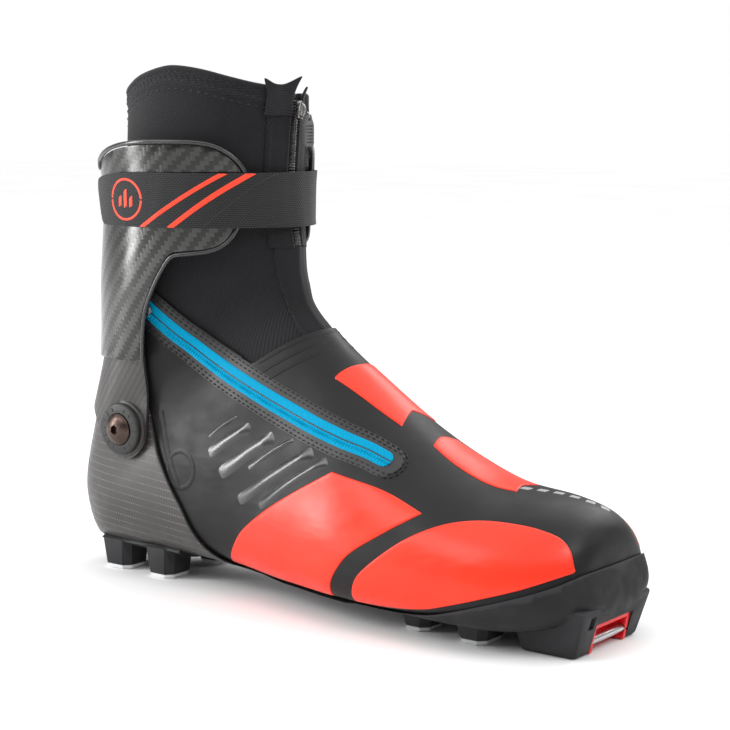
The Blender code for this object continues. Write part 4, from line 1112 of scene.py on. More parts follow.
def build_sole():
    above = prism(smooth_outline(BUMPER, step=4) + [(330, 60), (330, 120), (150, 120),
                                                    (150, 9.5)], -90, 90)
    xs, zs = zip(*BUMPER)

    def thick(points, angles):
        depth = np.interp(points[:, :, 0], xs, zs) - points[:, :, 2]
        return 1.1 + 2.1 * ease(depth, -1, 13)
    sole = slab("forefoot_outsole", 0, 0.44, 0.25, thick, toe=True)
    steps = [("DIFFERENCE", above), ("UNION", toe_block())]
    steps += [("UNION", lug_prism(lug, 2.5, 13, 1.5, 3.5, 1.3)) for lug in FORE_LUGS]
    steps += [("DIFFERENCE", foot_solid(0.2)),
              ("DIFFERENCE", block((284.4, -16, -5), (320, 16, 13.8))),
              ("DIFFERENCE", rod((BAR[0], -20.5, BAR[1]), (BAR[0], 20.5, BAR[1]), BAR[2] + 0.12)),
              ("DIFFERENCE", block((292, -23, 12.8), (310, -18.6, 18.5)))]
    for y in (-6.0, 6.0):
        steps.append(("DIFFERENCE", block((200, y - 1.6, -4), (279, y + 1.6, 6.2))))
    for x in range(206, 278, 6):
        steps.append(("DIFFERENCE", block((x, -3.6, -4), (x + 2.2, 3.6, 5.6))))
    carve(sole, *steps)
    bevel(sole, 0.7, 2, 35)
    finish_piece(sole, RUBBER, "boot", "rubber", "forefoot_outsole", smooth=50)

    heel = slab("heel_outsole", 0.61, 0.75, 1.9, 3.6, -34, 34)
    steps = [("INTERSECT", prism([(9, 15), (6, 12), (7, 5), (68, 5), (68, 22), (60, 30), (30, 22)],
                                 -90, 90))]
    steps += [("UNION", lug_prism(lug, 2.5, 16, 1.5, 3.5, 1.3)) for lug in HEEL_LUGS]
    steps.append(("DIFFERENCE", foot_solid(1.85, 0.5, 0.9)))
    carve(heel, *steps)
    bevel(heel, 0.6, 2, 35)
    finish_piece(heel, RUBBER, "boot", "rubber", "heel_outsole", smooth=50)

    for lugs, word, mat in ((FORE_LUGS, "forefoot", TIP), (HEEL_LUGS, "heel", WHITE_TIP)):
        for k, lug in enumerate(lugs):
            name = "%s_lug_tip_%d" % (word, k + 1)
            tip = lug_prism(lug, 0.0, 2.3, 0.1, 3.4, 0.9)
            tip.name = name + "_cap"
            bevel(tip, 0.35, 2, 20)
            finish_piece(tip, mat, "boot", "tip", name)

    insert = block((284.7, -15.7, 0.6), (297.2, 15.7, 13.5))
    for vert in insert.data.vertices:
        if vert.co.x > 290 and vert.co.z < 5:
            vert.co.x -= 2.6
    insert.name = "bar_pocket_liner"
    carve(insert, ("DIFFERENCE", block((287, -13.4, -6), (330, 13.4, 11.4))),
          ("DIFFERENCE", rod((BAR[0], -20.5, BAR[1]), (BAR[0], 20.5, BAR[1]), BAR[2] + 0.12)))
    bevel(insert, 0.5, 2, 35)
    finish_piece(insert, POCKET, "boot", "pocket_red", "bar_pocket_insert")
    bar = rod((BAR[0], -20.2, BAR[1]), (BAR[0], 20.2, BAR[1]), BAR[2] - 0.02, 40)
    bar.name = "binding_pin"
    bevel(bar, 0.4, 2)
    finish_piece(bar, STEEL, "boot", "steel", "binding_bar")


def build_chassis():

    def outer(points, angles):
        bulge = np.exp(-((points[:, :, 2] - 50) / 20) ** 2) * (1 - ease(angles, 20, 70))
        return 1.7 + 1.7 * bulge
    body = slab("heel_chassis", 0.38, 0.89, 0.3, outer)
    outline = [(-30, 78), (14, 79), (28, 84), (36, 90), (48, 91)] + list(SEAM)[0:1]
    outline = outline[:-1] + [(55, 88)] + smooth_outline(SEAM[1:], step=3)
    outline += [(120, 11.8), (150, 11.2), (181.5, 10.6), (181.5, -5), (-30, -5)]
    carve(body, ("INTERSECT", prism(outline, -90, 90)))
    bevel(body, 0.45, 2, 45)
    finish_piece(body, HEEL, "boot", "carbon_matte", "carbon_chassis")
    for side, word in ((-1, "lateral"), (1, "medial")):
        skin = Skin(1.35)
        seam = laid(smooth_outline(SEAM[1:], step=2), skin, side)
        line = tube("heel_seam_" + word, [f[0] + f[2] * 0.7 * -side for f in seam], 0.5)
        finish_piece(line, DARK_THREAD, "boot", "shell_black")


def build_inside():
    sole_cols = (-42, 42)
    board = slab("board_sheet", 0.06, 0.69, -3.3, -1.8, *sole_cols)
    finish_piece(board, BOARD, "boot", "board", "lasting_board")
    insole = slab("insole_sheet", 0.06, 0.69, -7.0, -3.6, *sole_cols)
    finish_piece(insole, FOOTBED, "boot", "footbed", "insole")

    def pillow(low, high, first, last, channels=0):
        middle, half = (first + last) / 2, (last - first) / 2

        def amount(points, angles):
            turn = np.degrees(TURNS)[None] + 0 * angles
            turn = np.where(turn > last + 40, turn - 360, turn)
            across = np.abs(turn - middle) / half
            v = (ROWS[:, None] - low) / (high - low)
            along = np.abs(2 * v - 1)
            full = np.sqrt(np.clip(1 - np.clip(across, 0, 1) ** 6, 0, 1)
                           * np.clip(1 - np.clip(along, 0, 1) ** 6, 0, 1))
            wave = 1.0 if not channels else 0.75 + 0.25 * np.abs(np.sin(v * math.pi * channels))
            return full * wave
        return amount

    for name, low, high, inner, outer, first, last, body, node, channels in (
            ("tongue_pad", 0.32, 0.75, -9.0, -5.7, 129, 231, "boot", "tongue", 6),
            ("heel_pad", 0.56, 0.80, -5.6, -3.5, -115, 115, "boot", "heel_liner", 4),
            ("collar_pad", 0.80, 0.972, -6.6, -3.4, -150, 150, "cuff", "cuff_liner", 5)):
        shape = pillow(low, high, first, last, channels)
        middle = (inner + outer) / 2

        def deep(points, angles, shape=shape, inner=inner, middle=middle):
            return middle + (inner - middle) * (0.25 + 0.75 * shape(points, angles))

        def near(points, angles, shape=shape, outer=outer, middle=middle):
            return middle + (outer - middle) * (0.6 + 0.4 * shape(points, angles))
        pad = slab(name, low, high, deep, near, first, last)
        if body == "cuff":
            carve(pad, ("INTERSECT", block((-40, -90, COLLAR_Z + 1), (160, 90, 236))))
        puff(pad, 0.7)
        finish_piece(pad, LINER, body, "foam", node, smooth=70)

    for word, first, last in (("lateral", 118, 154), ("medial", 206, 242)):
        facing = slab("lace_band_" + word, 0.38, 0.56, -5.2, -4.4, first, last)
        finish_piece(facing, WEB, "boot", "webbing", "lace_facing_" + word)
    turns = []
    for k, v in enumerate(np.linspace(0.385, 0.575, 8)):
        a = 38 if k % 2 else -38
        turns += [(v - 0.003, a), (v + 0.003, a)]
    route = []
    for (v0, a0), (v1, a1) in zip(turns[:-1], turns[1:]):
        for s in np.linspace(0, 1, 6, endpoint=False):
            route.append((v0 + (v1 - v0) * s, a0 + (a1 - a0) * s))
    lace = []
    skin = offset_grid(-2.7)
    for v, a in route + [turns[-1]]:
        i = np.interp(v, ROWS, np.arange(len(ROWS)))
        j = (180 + a) / 360 * RING
        i0, j0 = int(i), int(j)
        fi, fj = i - i0, j - j0
        lace.append(skin[i0, j0] * (1 - fi) * (1 - fj) + skin[i0 + 1, j0] * fi * (1 - fj)
                    + skin[i0, j0 + 1] * (1 - fi) * fj + skin[i0 + 1, j0 + 1] * fi * fj)
    cord = tube("quick_lace", lace, 0.85, 10)
    finish_piece(cord, LACE, "boot", "lace", "speed_lace")
    lock = slab("lace_toggle", 0.61, 0.655, -4.6, -3.4, 154, 206)
    bevel(lock, 0.3, 2)
    finish_piece(lock, BLACK_COIL, "boot", "zip_black", "lace_lock")


COLLAR_Z = 168.0

# ---------------------------------------------------------------- upper, film panels, side zip


def zip_path(extra=0.0):
    """The side zip's line, with its end moved on by extra."""
    line = [Vector(p) for p in smooth_outline(ZIP_LINE, step=2)]
    along = (line[-1] - line[-4]).normalized()
    return [tuple(p) for p in line] + ([tuple(line[-1] + along * extra)] if extra else [])


def build_upper():
    welt = [(x, z) for x, z in smooth_outline(ZIP_LINE, step=3)]
    pts = [Vector(p) for p in welt]
    lifted = []
    for i, p in enumerate(pts):
        along = (pts[min(i + 1, len(pts) - 1)] - pts[max(i - 1, 0)]).normalized()
        q = p + Vector((-along.y, along.x)) * 9.6
        if 56 < q.x < 108:
            lifted.append(tuple(q))
    bow = smooth_outline(((112, 112.6), (116, 114.6), (123, 119.6), (129, 123.6), (135, 127.4),
                          (142, 131), (150, 135)), step=2)
    outline = ([(-40, 78), (14, 79), (30, 88), (50, 94), (55, 106), (53, 148)] + lifted + bow
               + [(330, 135), (330, -5), (-40, -5)])
    shell = slab("boot_upper", 0, 0.92, -1.4, 0.0, toe=True)
    carve(shell, ("INTERSECT", prism(outline, -90, 90)))
    bevel(shell, 0.35, 2, 50)
    finish_piece(shell, SHELL, "boot", "shell_black", "upper_shell", "lace_cover", smooth=60)

    bands = []
    for shift, z_up in ((0, 0), (5.2, -2.2), (10.4, -4.6)):
        line = [(x + shift * 0.62, z + z_up - shift * 0.28) for x, z in
                ((118, 114), (123, 117.3), (129, 121.3), (135, 125), (142, 128.6))]
        for side in (-1, 1):
            frames = laid(line, SKIN, side)
            bands.append(strip("bow_band", frames, 0.8, lambda s, t: 0.22 * (1 - (t / 0.8) ** 2)
                               - 0.04, 6))
    bands = joined("overlap_ridges", bands)
    finish_piece(bands, SHELL, "boot", "shell_black")


FRONT_PANEL = ((190, 13.5), (195, 26), (203, 34), (218, 45.5), (230, 52), (241, 55.5), (255, 57),
               (272, 56), (284, 52.5), (290, 47), (293.5, 38.2), (290, 36.8), (277, 31.6),
               (260, 26), (246, 21.6), (232, 17.6), (210, 14.4))
MID_PANEL = ((104, 16.5), (112, 26), (120, 36), (134, 47), (151, 57.5), (174, 70.5), (201, 65.5),
             (224, 57.5), (207, 47), (190, 35.5), (181, 24), (177, 13.6), (150, 13.9),
             (120, 14.8))
LACE_PANEL = ((157, -18), (166, -17.5), (180, -16), (193.5, -14), (189, 0), (193.5, 14),
              (180, 16), (166, 17.5), (157, 18), (161, 0))
TOP_PANEL = ((208, -10), (222, -12), (240, -12), (253, -9.5), (250, 0), (253, 9.5), (240, 12),
             (222, 12), (208, 10), (205.5, 0))


def build_panels():
    for side, word in ((-1, "lateral"), (1, "medial")):
        for name, node, shape in (("forefoot_film", "front_panel", FRONT_PANEL),
                                  ("quarter_film", "quarter_panel", MID_PANEL)):
            film = patch("%s_%s" % (name, word), smooth_outline(shape, True, 1.2, 34),
                         side_cast(SKIN, side), 0.5)
            finish_piece(film, RED, "boot", "panel_red", "%s_%s" % (node, word), smooth=60)
    for name, node, shape in (("lace_film", "lace_panel", LACE_PANEL),
                              ("toe_film", "toe_panel", TOP_PANEL)):
        film = patch(name, smooth_outline(shape, True, 1.2, 34), top_cast(SKIN), 0.5)
        finish_piece(film, RED, "boot", "panel_red", node, smooth=60)

    ribs = []
    for side in (-1, 1):
        for a, b, half in (((95, 77.5), (112, 89), 1.0), ((96, 69.5), (121, 85), 3.0),
                           ((104, 60.5), (136, 82), 3.7), ((122, 65.5), (148, 82), 1.5),
                           ((117, 49.5), (161, 78), 3.2), ((131, 49), (170, 75), 2.5)):
            middle = ((a[0] + b[0]) / 2 - 0.3, (a[1] + b[1]) / 2 + 0.5)
            frames = laid(smooth_outline((a, middle, b), step=2), SKIN, side)
            total = sum((q[0] - p[0]).length for p, q in zip(frames[:-1], frames[1:]))

            def rise(s, t, half=half, total=total):
                taper = min(s / 20, (total - s) / 7)
                body = max(1 - (abs(t) / half) ** 2, 0)
                return 1.25 * body * min(max(taper, 0), 1) ** 0.7 - 0.1
            ribs.append(strip("rib", frames, half, rise, 10))
    finish_piece(joined("embossed_ribs", ribs), GLOSSY, "boot", "shell_black", smooth=70)

    rings = []
    for side in (-1, 1):
        turn = [(78 + 9 * math.cos(a), 60 + 9 * math.sin(a))
                for a in np.linspace(0, 2 * math.pi, 40)]
        rings.append(strip("ankle_ring", laid(turn, SKIN, side), 1.6,
                           lambda s, t: 0.22 * (1 - (t / 1.6) ** 2) - 0.05, 8))
    finish_piece(joined("ankle_emboss", rings), SHELL, "boot", "shell_black", smooth=70)

    dashes = []
    for x, y, turn in ((247, -6, 8), (253.5, -2.4, 14), (260, 1.2, 18), (266.5, 4.4, 24),
                       (273, 7.2, 30), (279.5, 9.8, 38), (285, 13.2, 50)):
        c, s = math.cos(math.radians(turn)), math.sin(math.radians(turn))
        corners = [(x + u * c - w * s, y + u * s + w * c)
                   for u, w in ((-2.7, -2.0), (1.5, -2.0), (2.7, 2.0), (-1.5, 2.0))]
        dashes.append(patch("dash", smooth_outline(corners, True, 0.5), top_cast(SKIN), 0.22,
                            0.25, 0.7))
    finish_piece(joined("reflective_dashes", dashes), DASH, "boot", "shell_black")


TEETH_SIDE = -1          # the coil shows on the band below the seam


def build_side_zip():
    path = zip_path()
    frames = laid(path, SKIN, step=0.7)
    total = sum((q[0] - p[0]).length for p, q in zip(frames[:-1], frames[1:]))

    def ending(half, reach):
        """Half width at s, closing in a round end reach past the last tooth."""
        def width(s):
            left = max(total - s, 0)
            return half * math.sqrt(max(1 - (1 - min(left / reach, 1)) ** 2, 0.0)) + 0.02
        return width
    ext = laid(zip_path(5.0), SKIN, step=0.7)
    total = sum((q[0] - p[0]).length for p, q in zip(ext[:-1], ext[1:]))
    welt = wide_strip("zip_welt", ext, ending(9.6, 8.0), lambda s, t, half:
                      0.42 * (1 - (abs(t) / half) ** 8) - 0.1, 20)
    finish_piece(welt, WELT, "boot", "shell_black", smooth=60)
    total = sum((q[0] - p[0]).length for p, q in zip(frames[:-1], frames[1:]))

    def blue(s, t, half):
        side = abs(t) / half
        roll = 0.5 * (1 - side ** 10)
        near = math.exp(-((t * TEETH_SIDE - 1.9) / 1.1) ** 2)
        teeth = 0.4 * near * math.cos(2 * math.pi * s / 1.4)
        return 0.45 + roll + 0.25 * near + teeth - 0.5 * math.exp(-(t / 0.4) ** 2)
    fine = laid(path, SKIN, step=0.36)
    tape = wide_strip("blue_zip", fine, ending(4.3, 4.0), blue, 30)
    finish_piece(tape, BLUE, "boot", "zip_blue", "side_zip_tape", smooth=70)
    core = wide_strip("zip_seam", [f for f in laid(path, SKIN, step=1.0)], lambda s: 0.36,
                      lambda s, t, half: 0.78 - 0.12 * (t / half) ** 2, 4)
    finish_piece(core, BLACK_COIL, "boot", "zip_black", "side_zip_coil")

    rows = []
    base = Skin(0.3)
    for gap in (6.5, 8.4):
        near = [(p, along, across) for p, _, along, across in laid(path, SKIN, step=1.5)]
        route = [p + across * gap for p, _, across in near]
        end, along, across = near[-1]
        for k in range(1, 10):
            a = math.pi / 2 - math.pi * k / 10
            route.append(end + along * (math.cos(a) * gap * 0.8) + across * math.sin(a) * gap)
        route += [p - across * gap for p, _, across in near[::-1]]
        route = [base.tree.find_nearest(p)[0] for p in route]
        rows.append(frames_of(route, 0.6, lambda p: base.tree.find_nearest(p), base))
    sewn = stitches("zip_stitching", rows, 1.9, 0.95, 0.3, 0.3)
    finish_piece(sewn, DARK_THREAD, "boot", "lace")

    ankle = []
    for z_off in (0,):
        line = [(62, 87), (66, 74), (71, 62), (77, 51)]
        ankle.append(strip("fold", laid(smooth_outline(line, step=2), SKIN), 2.4,
                           lambda s, t: 0.28 * (1 - (t / 2.4) ** 2) - 0.05, 8))
    finish_piece(joined("counter_fold", ankle), SHELL, "boot", "shell_black", smooth=70)


def wide_strip(name, frames, width, height, cross):
    """A strip whose half width changes along it."""
    lengths = [0.0]
    for p, q in zip(frames[:-1], frames[1:]):
        lengths.append(lengths[-1] + (q[0] - p[0]).length)
    points, tex, faces, uvs = [], [], [], []
    for s, (p, normal, along, across) in zip(lengths, frames):
        half = width(s)
        for k in range(cross + 1):
            t = half * (2 * k / cross - 1)
            hit, _, index, _ = SKIN.tree.find_nearest(p + across * t)
            quad = SKIN.quads[index]
            near = [1 / ((Vector(SKIN.flat[m]) - hit).length + 1e-3) for m in quad]
            n = sum((Vector(SKIN.normals[m]) * w for m, w in zip(quad, near)), Vector())
            n.normalize()
            points.append(hit + n * height(s, t, half))
            tex.append((s, t))
    wide = cross + 1
    for i in range(len(frames) - 1):
        for k in range(cross):
            ids = (i * wide + k, i * wide + k + 1, (i + 1) * wide + k + 1, (i + 1) * wide + k)
            faces.append(ids)
            uvs.append([tex[m] for m in ids])
    mesh = raw_mesh(name, points, faces, uvs)
    mesh.update()
    if mesh.polygons[len(mesh.polygons) // 2].normal.dot(frames[len(frames) // 2][1]) < 0:
        mesh.flip_normals()
    return new_object(name, mesh)

# ---------------------------------------------------------------- gaiter and front zip

JOINT_START = to_row(60, 0, 92)
JOINT_END = to_row(60, 0, COLLAR_Z)
BENDING = (JOINT_START, JOINT_END)


RIM_LINES = [tuple(zip(*smooth_outline(line, step=2))) for line in (RIM, RIM_MEDIAL)]


def rim_z(x, y=-1.0):
    return float(np.interp(x, *RIM_LINES[y > 0]))


def gaiter_relief(amount):
    """The gaiter's surface with soft folds at the ankle's bend and beside the front zip."""
    def relief(points, angles):
        z = points[:, :, 2]
        front = np.clip((angles - 95) / 60, 0, 1)
        bend = np.exp(-((z - 150) / 16) ** 2) * front
        folds = 0.55 * np.sin(z / 5.2 + angles / 40) * bend
        beside = 0.7 * np.exp(-((angles - 138) / 9) ** 2) * np.clip((z - 200) / 20, 0, 1)
        loose = 0.35 * np.sin(angles / 13 + z / 19) * np.clip((z - 170) / 50, 0, 1)
        return amount + folds - beside + loose
    return relief


def build_gaiter():
    outer, inner = gaiter_relief(-1.9), gaiter_relief(-3.1)
    lower = [(x, z - 9) for x, z in smooth_outline(ZIP_LINE, step=4) if x < 110]
    shape = ([(-40, 80), (10, 82), (40, 92), (44, 128)] + lower
             + [(112, 100), (128, 112), (144, 120), (160, 125), (160, COLLAR_Z), (-40, COLLAR_Z)])
    ankle = slab("ankle_knit", 0.56, 0.95, inner, outer, level=True)
    carve(ankle, ("INTERSECT", prism(shape, -90, 90)))
    finish_piece(ankle, KNIT, BENDING, "gaiter_knit", "gaiter_ankle", smooth=70)

    collar = slab("collar_knit", 0.75, 1.0, inner, outer, level=True)
    below = [[(x, z - 1.5) for x, z in smooth_outline(line, step=3)] for line in (RIM, RIM_MEDIAL)]
    sides = [prism([(line[0][0], low)] + line + [(line[-1][0], low)], *span)
             for line, low, span in ((below[0], COLLAR_Z, (-90, 0.3)),
                                     (below[1], COLLAR_Z - 0.02, (-0.3, 94)))]
    carve(sides[0], ("UNION", sides[1]))
    carve(collar, ("INTERSECT", sides[0]),
          ("DIFFERENCE", block((95, -2.0, COLLAR_Z + 1), (150, 2.0, 300))))
    finish_piece(collar, KNIT, "cuff", "gaiter_knit", "gaiter_collar", smooth=70)

    skin = Skin(gaiter_relief(-1.9))
    middle = Skin(gaiter_relief(-2.3))
    top = ring_frames(lambda x, y: rim_z(x, y) - 1.2, middle, 5.0 - 180, 175.0, 1.2)
    bead = tube("rim", [f[0] for f in top], 1.55, 12, normals=[f[1] for f in top])
    low = ring_frames(lambda x, y: rim_z(x, y) - 4.6, skin, 5.0 - 180, 175.0, 1.2)
    band = strip("rim_band", low, 4.2, lambda s, t: 0.62 * (1 - (abs(t) / 4.2) ** 6) - 0.1,
                 10, skin)
    rim = joined("rim_binding_band", [bead, band])
    finish_piece(rim, RIM_KNIT, "cuff", "gaiter_knit", "collar_rim", smooth=70)

    rows = [ring_frames(lambda x, y, d=d: rim_z(x, y) - d, skin, 6.0 - 180, 174.0, 0.8)
            for d in (2.6, 6.6, 10.6)]
    sewn = [stitches("s", rows[:2], 1.5, 1.0, 0.3, 0.62), stitches("s", rows[2:], 1.9, 1.5, 0.33,
                                                                   0.12)]
    cross_rows = ring_frames(lambda x, y: rim_z(x, y) - 4.7, skin, 6.0 - 180, 174.0, 0.8)
    turned = [(p + n * 0.0, n, (along * 0.55 + across * 0.84 * (1 if k % 2 else -1)).normalized(),
               across) for k, (p, n, along, across) in enumerate(cross_rows)]
    sewn.append(stitches("s", [turned], 2.6, 0.0, 0.22, 0.62))
    back = laid(((33, 236.5), (31, 228), (28, 220), (26, 210), (25, 200)), skin, step=0.8)
    sewn.append(stitches("s", [back], 2.0, 1.7, 0.36, 0.16))
    back = laid(((33, 236.5), (31, 228), (28, 220), (26, 210), (25, 200)), skin, 1, step=0.8)
    sewn.append(stitches("s", [back], 2.0, 1.7, 0.36, 0.16))
    threads = joined("collar_stitching", sewn)
    finish_piece(threads, DARK_THREAD, "cuff", "gaiter_knit")


def front_line(low, high, skin, step=1.0):
    """Frames up the front of the leg, along which across points to the lateral side."""
    points = []
    for z in np.linspace(low, high, int((high - low) / 0.8) + 2):
        hit, _ = skin.cast((240, 0.0, z), (-1, 0, 0))
        points.append(hit)
    return frames_of(points, step, lambda p: skin.tree.find_nearest(p), skin)


def build_front_zip():
    skin = Skin(gaiter_relief(-1.9))

    def placket(s, t):
        side = abs(t)
        body = 1.15 if side > 3.4 else 1.15 - 0.9 * ((3.4 - side) / 3.4) ** 0.5 * 1.0
        edge = min((16.5 - side) / 1.2, 1)
        pipe = 0.5 * math.exp(-((side - 4.3) / 0.8) ** 2) + 0.35 * math.exp(-((side - 14.8) / 0.7) ** 2)
        wave = 0.12 * math.sin(s / 6.5) * (side / 16)
        return (body + pipe + wave) * math.sqrt(max(1 - (1 - edge) ** 2, 0)) - 0.25

    def lower(s, t):
        side = abs(t)
        edge = min((16.5 - side) / 1.2, 1)
        fold = 0.6 * math.exp(-((t - 2.5 * math.sin(s / 17)) / 1.7) ** 2)
        pipe = 0.4 * math.exp(-((side - 14.8) / 0.8) ** 2)
        return (0.85 + fold + pipe) * math.sqrt(max(1 - (1 - edge) ** 2, 0)) - 0.25
    up = front_line(COLLAR_Z, 237.5, skin)
    tapes = []
    for word, low, high in (("lateral", 0, 16.5), ("medial", -16.5, 0)):
        half = 8.25
        frames = [(p, n, along, across) for p, n, along, across in up]
        sign = 1 if word == "lateral" else -1
        moved = []
        for p, n, along, across in frames:
            out = Vector((0, -1, 0)) if word == "lateral" else Vector((0, 1, 0))
            way = across if across.dot(out) > 0 else -across
            hit, *_ = skin.tree.find_nearest(p + way * (8.25 + 1.3))
            moved.append(hit)
        side_frames = frames_of(moved, 1.0, lambda q: skin.tree.find_nearest(q), skin)
        inner = -1 if side_frames[5][3].y * sign < 0 else 1

        def rise(s, t, inner=inner):
            side = 9.55 - t * inner * 1.0 if False else 9.55 + t * inner
            return placket(s, side)
        tape = strip("front_placket_" + word, side_frames, 7.0, rise, 22, skin)
        tape.data.update()
        if tape.data.polygons[40].normal.x < 0:
            tape.data.flip_normals()
        finish_piece(tape, KNIT, "cuff", "gaiter_knit", "front_zip_tape_" + word, smooth=70)

    fine = front_line(COLLAR_Z + 1, 238, skin, 0.4)

    def coil(s, t):
        return 0.9 + 0.45 * (1 - (t / 2.0) ** 2) + 0.28 * math.cos(2 * math.pi * s / 1.3) * (
            1 if abs(t) > 0.25 else 0) - (0.5 if abs(t) < 0.2 else 0)
    teeth = strip("front_zip_teeth", fine, 2.0, coil, 14, skin)
    finish_piece(teeth, BLACK_COIL, "cuff", "zip_black", "front_zip_coil", smooth=60)
    tape = strip("front_zip_backing", up, 3.6, lambda s, t: 0.45 - 0.1 * (t / 3.6) ** 2, 8, skin)
    finish_piece(tape, WEB, "cuff", "gaiter_knit")

    down = front_line(121, COLLAR_Z, skin)
    strip_ = strip("front_gusset", down, 16.5, lower, 40, skin)
    strip_.data.update()
    if strip_.data.polygons[200].normal.x < 0:
        strip_.data.flip_normals()
    finish_piece(strip_, KNIT, BENDING, "gaiter_knit", "front_strip", smooth=70)

    for word, side, lift in (("lateral", -1, 1.0), ("medial", 1, 0.8)):
        rows, faces, uvs = [], [], []
        wide, tall = 16, 16
        reach = 15.0 if side < 0 else 8.5
        for i in range(tall + 1):
            s = i / tall
            for k in range(wide + 1):
                t = k / wide
                y = side * (2.6 + reach * t + 0.5 * math.sin(s * 5 + t * 2))
                near = math.exp(-(reach * t / 3.2) ** 2)
                surface = 71 + 50.3 * math.sqrt(max(1 - (y / 42) ** 2, 0))
                x = surface - 0.6 + 4.6 * s ** 3 * near * lift + 0.5 * math.sin(t * 7 + s * 3) * s
                if side < 0:
                    top = 245.5 + 4.0 * near + 3.0 * math.exp(-((1 - t) / 0.2) ** 2)
                    y += 1.6 * near * s ** 3
                else:
                    y += 1.8 * near * s ** 3
                    top = 240.5 + 4.0 * near
                z = 231.0 + (top - 231.0) * s
                rows.append((x, y, z))
        n = wide + 1
        for i in range(tall):
            for k in range(wide):
                ids = (i * n + k, i * n + k + 1, (i + 1) * n + k + 1, (i + 1) * n + k)
                faces.append(ids)
                uvs.append([(m % n * 0.8, m // n * 0.95) for m in ids])
        flap = new_object("zip_garage_" + word, raw_mesh("flap", rows, faces, uvs))
        thick = flap.modifiers.new("thick", "SOLIDIFY")
        thick.thickness = 1.1
        thick.offset = 0
        soft = flap.modifiers.new("soft", "SUBSURF")
        soft.levels = soft.render_levels = 1
        bake(flap)
        finish_piece(flap, RIM_KNIT, "cuff", "gaiter_knit", "zip_end_flap_" + word, smooth=70)

    body = [(-3.1, 0), (-3.1, 3.5), (-2.4, 5.6), (-1.2, 7.4), (0, 8.2), (1.2, 7.4), (2.4, 5.6),
            (3.1, 3.5), (3.1, 0), (1.4, -0.8), (-1.4, -0.8)]
    shell = prism_front([(y * 0.76, 229.6 + z) for y, z in body], 122.0, 124.4)
    hollow = prism_front([(y * 0.45, 229.6 + z) for y, z in body], 124.0, 126.0)
    hollow.data.transform(Matrix.Translation((0, 0, 0.6)))
    carve(shell, ("DIFFERENCE", hollow))
    bevel(shell, 0.35, 2, 30)
    arc = [(124.0 + 1.9 * math.sin(a), 0, 233.4 + 2.9 * math.cos(a))
           for a in np.linspace(0.0, math.pi, 18)]
    bail = tube("bail", arc, 0.55, 12)
    slider = joined("front_slider_body", [shell, bail])
    finish_piece(slider, ZIP_METAL, "front_slider", "zip_metal", "front_zip_slider")

    plate = prism_front(smooth_outline(((-2.6, 216.2), (-3.4, 217.4), (-3.4, 226.3), (-2.2, 229.0),
                                        (-1.4, 231.3), (1.4, 231.3), (2.2, 229.0), (3.4, 226.3),
                                        (3.4, 217.4), (2.6, 216.2)), True, 1.0, 30), 126.5, 128.6)
    cuts = [("DIFFERENCE", block((128.1, -2.4, z), (131, 2.4, z + 0.75)))
            for z in np.arange(217.8, 226.0, 1.55)]
    cuts.append(("DIFFERENCE", block((125, -0.75, 228.4), (131, 0.75, 230.2))))
    carve(plate, *cuts)
    bevel(plate, 0.25, 2, 40)
    plate.name = "front_puller_tab"
    finish_piece(plate, PULLER, "front_puller", "puller", "front_zip_puller")
    ring = [(127.0 + 1.4 * math.cos(a), 0.0, 230.9 + 1.5 * math.sin(a))
            for a in np.linspace(0, 2 * math.pi, 24, endpoint=False)]
    loop = tube("puller_ring", ring, 0.42, 10, closed=True)
    finish_piece(loop, ZIP_METAL, "front_puller", "zip_metal")


def prism_front(outline, low, high):
    """A prism along X from an outline of (y, z)."""
    n = len(outline)
    points = [(low, y, z) for y, z in outline] + [(high, y, z) for y, z in outline]
    faces = [tuple(range(n)), tuple(range(2 * n - 1, n - 1, -1))]
    faces += [(i, (i + 1) % n, (i + 1) % n + n, i + n) for i in range(n)]
    mesh = raw_mesh("plate", points, faces)
    work = bmesh.new()
    work.from_mesh(mesh)
    bmesh.ops.recalc_face_normals(work, faces=work.faces)
    work.to_mesh(mesh)
    work.free()
    return new_object("plate", mesh)


# ---------------------------------------------------------------- cuff, yoke and strap


def cuff_inner(points, angles):
    heights = (110, 148, 180, 200, 218, 240)
    z = points[:, :, 2]
    rear = np.interp(z, heights, (4.3, 6.6, 7.2, 9.0, 12.0, 13.0))
    side = np.interp(z, heights, (4.6, 6.0, 5.4, 5.4, 6.0, 6.2))
    front = np.interp(z, heights, (4.6, 4.6, 0.8, 0.8, 1.2, 1.4))
    value = rear + (side - rear) * ease(angles, 40, 95)
    return value + (front - value) * ease(angles, 100, 140)


def cuff_outer(points, angles):
    return cuff_inner(points, angles) + 1.6


def strap_at(extra):
    def amount(points, angles):
        value = np.maximum(cuff_outer(points, angles) + 0.9, 1.2) * (1 - ease(angles, 150, 172))
        return value + 1.3 * ease(angles, 150, 172) + extra
    return amount


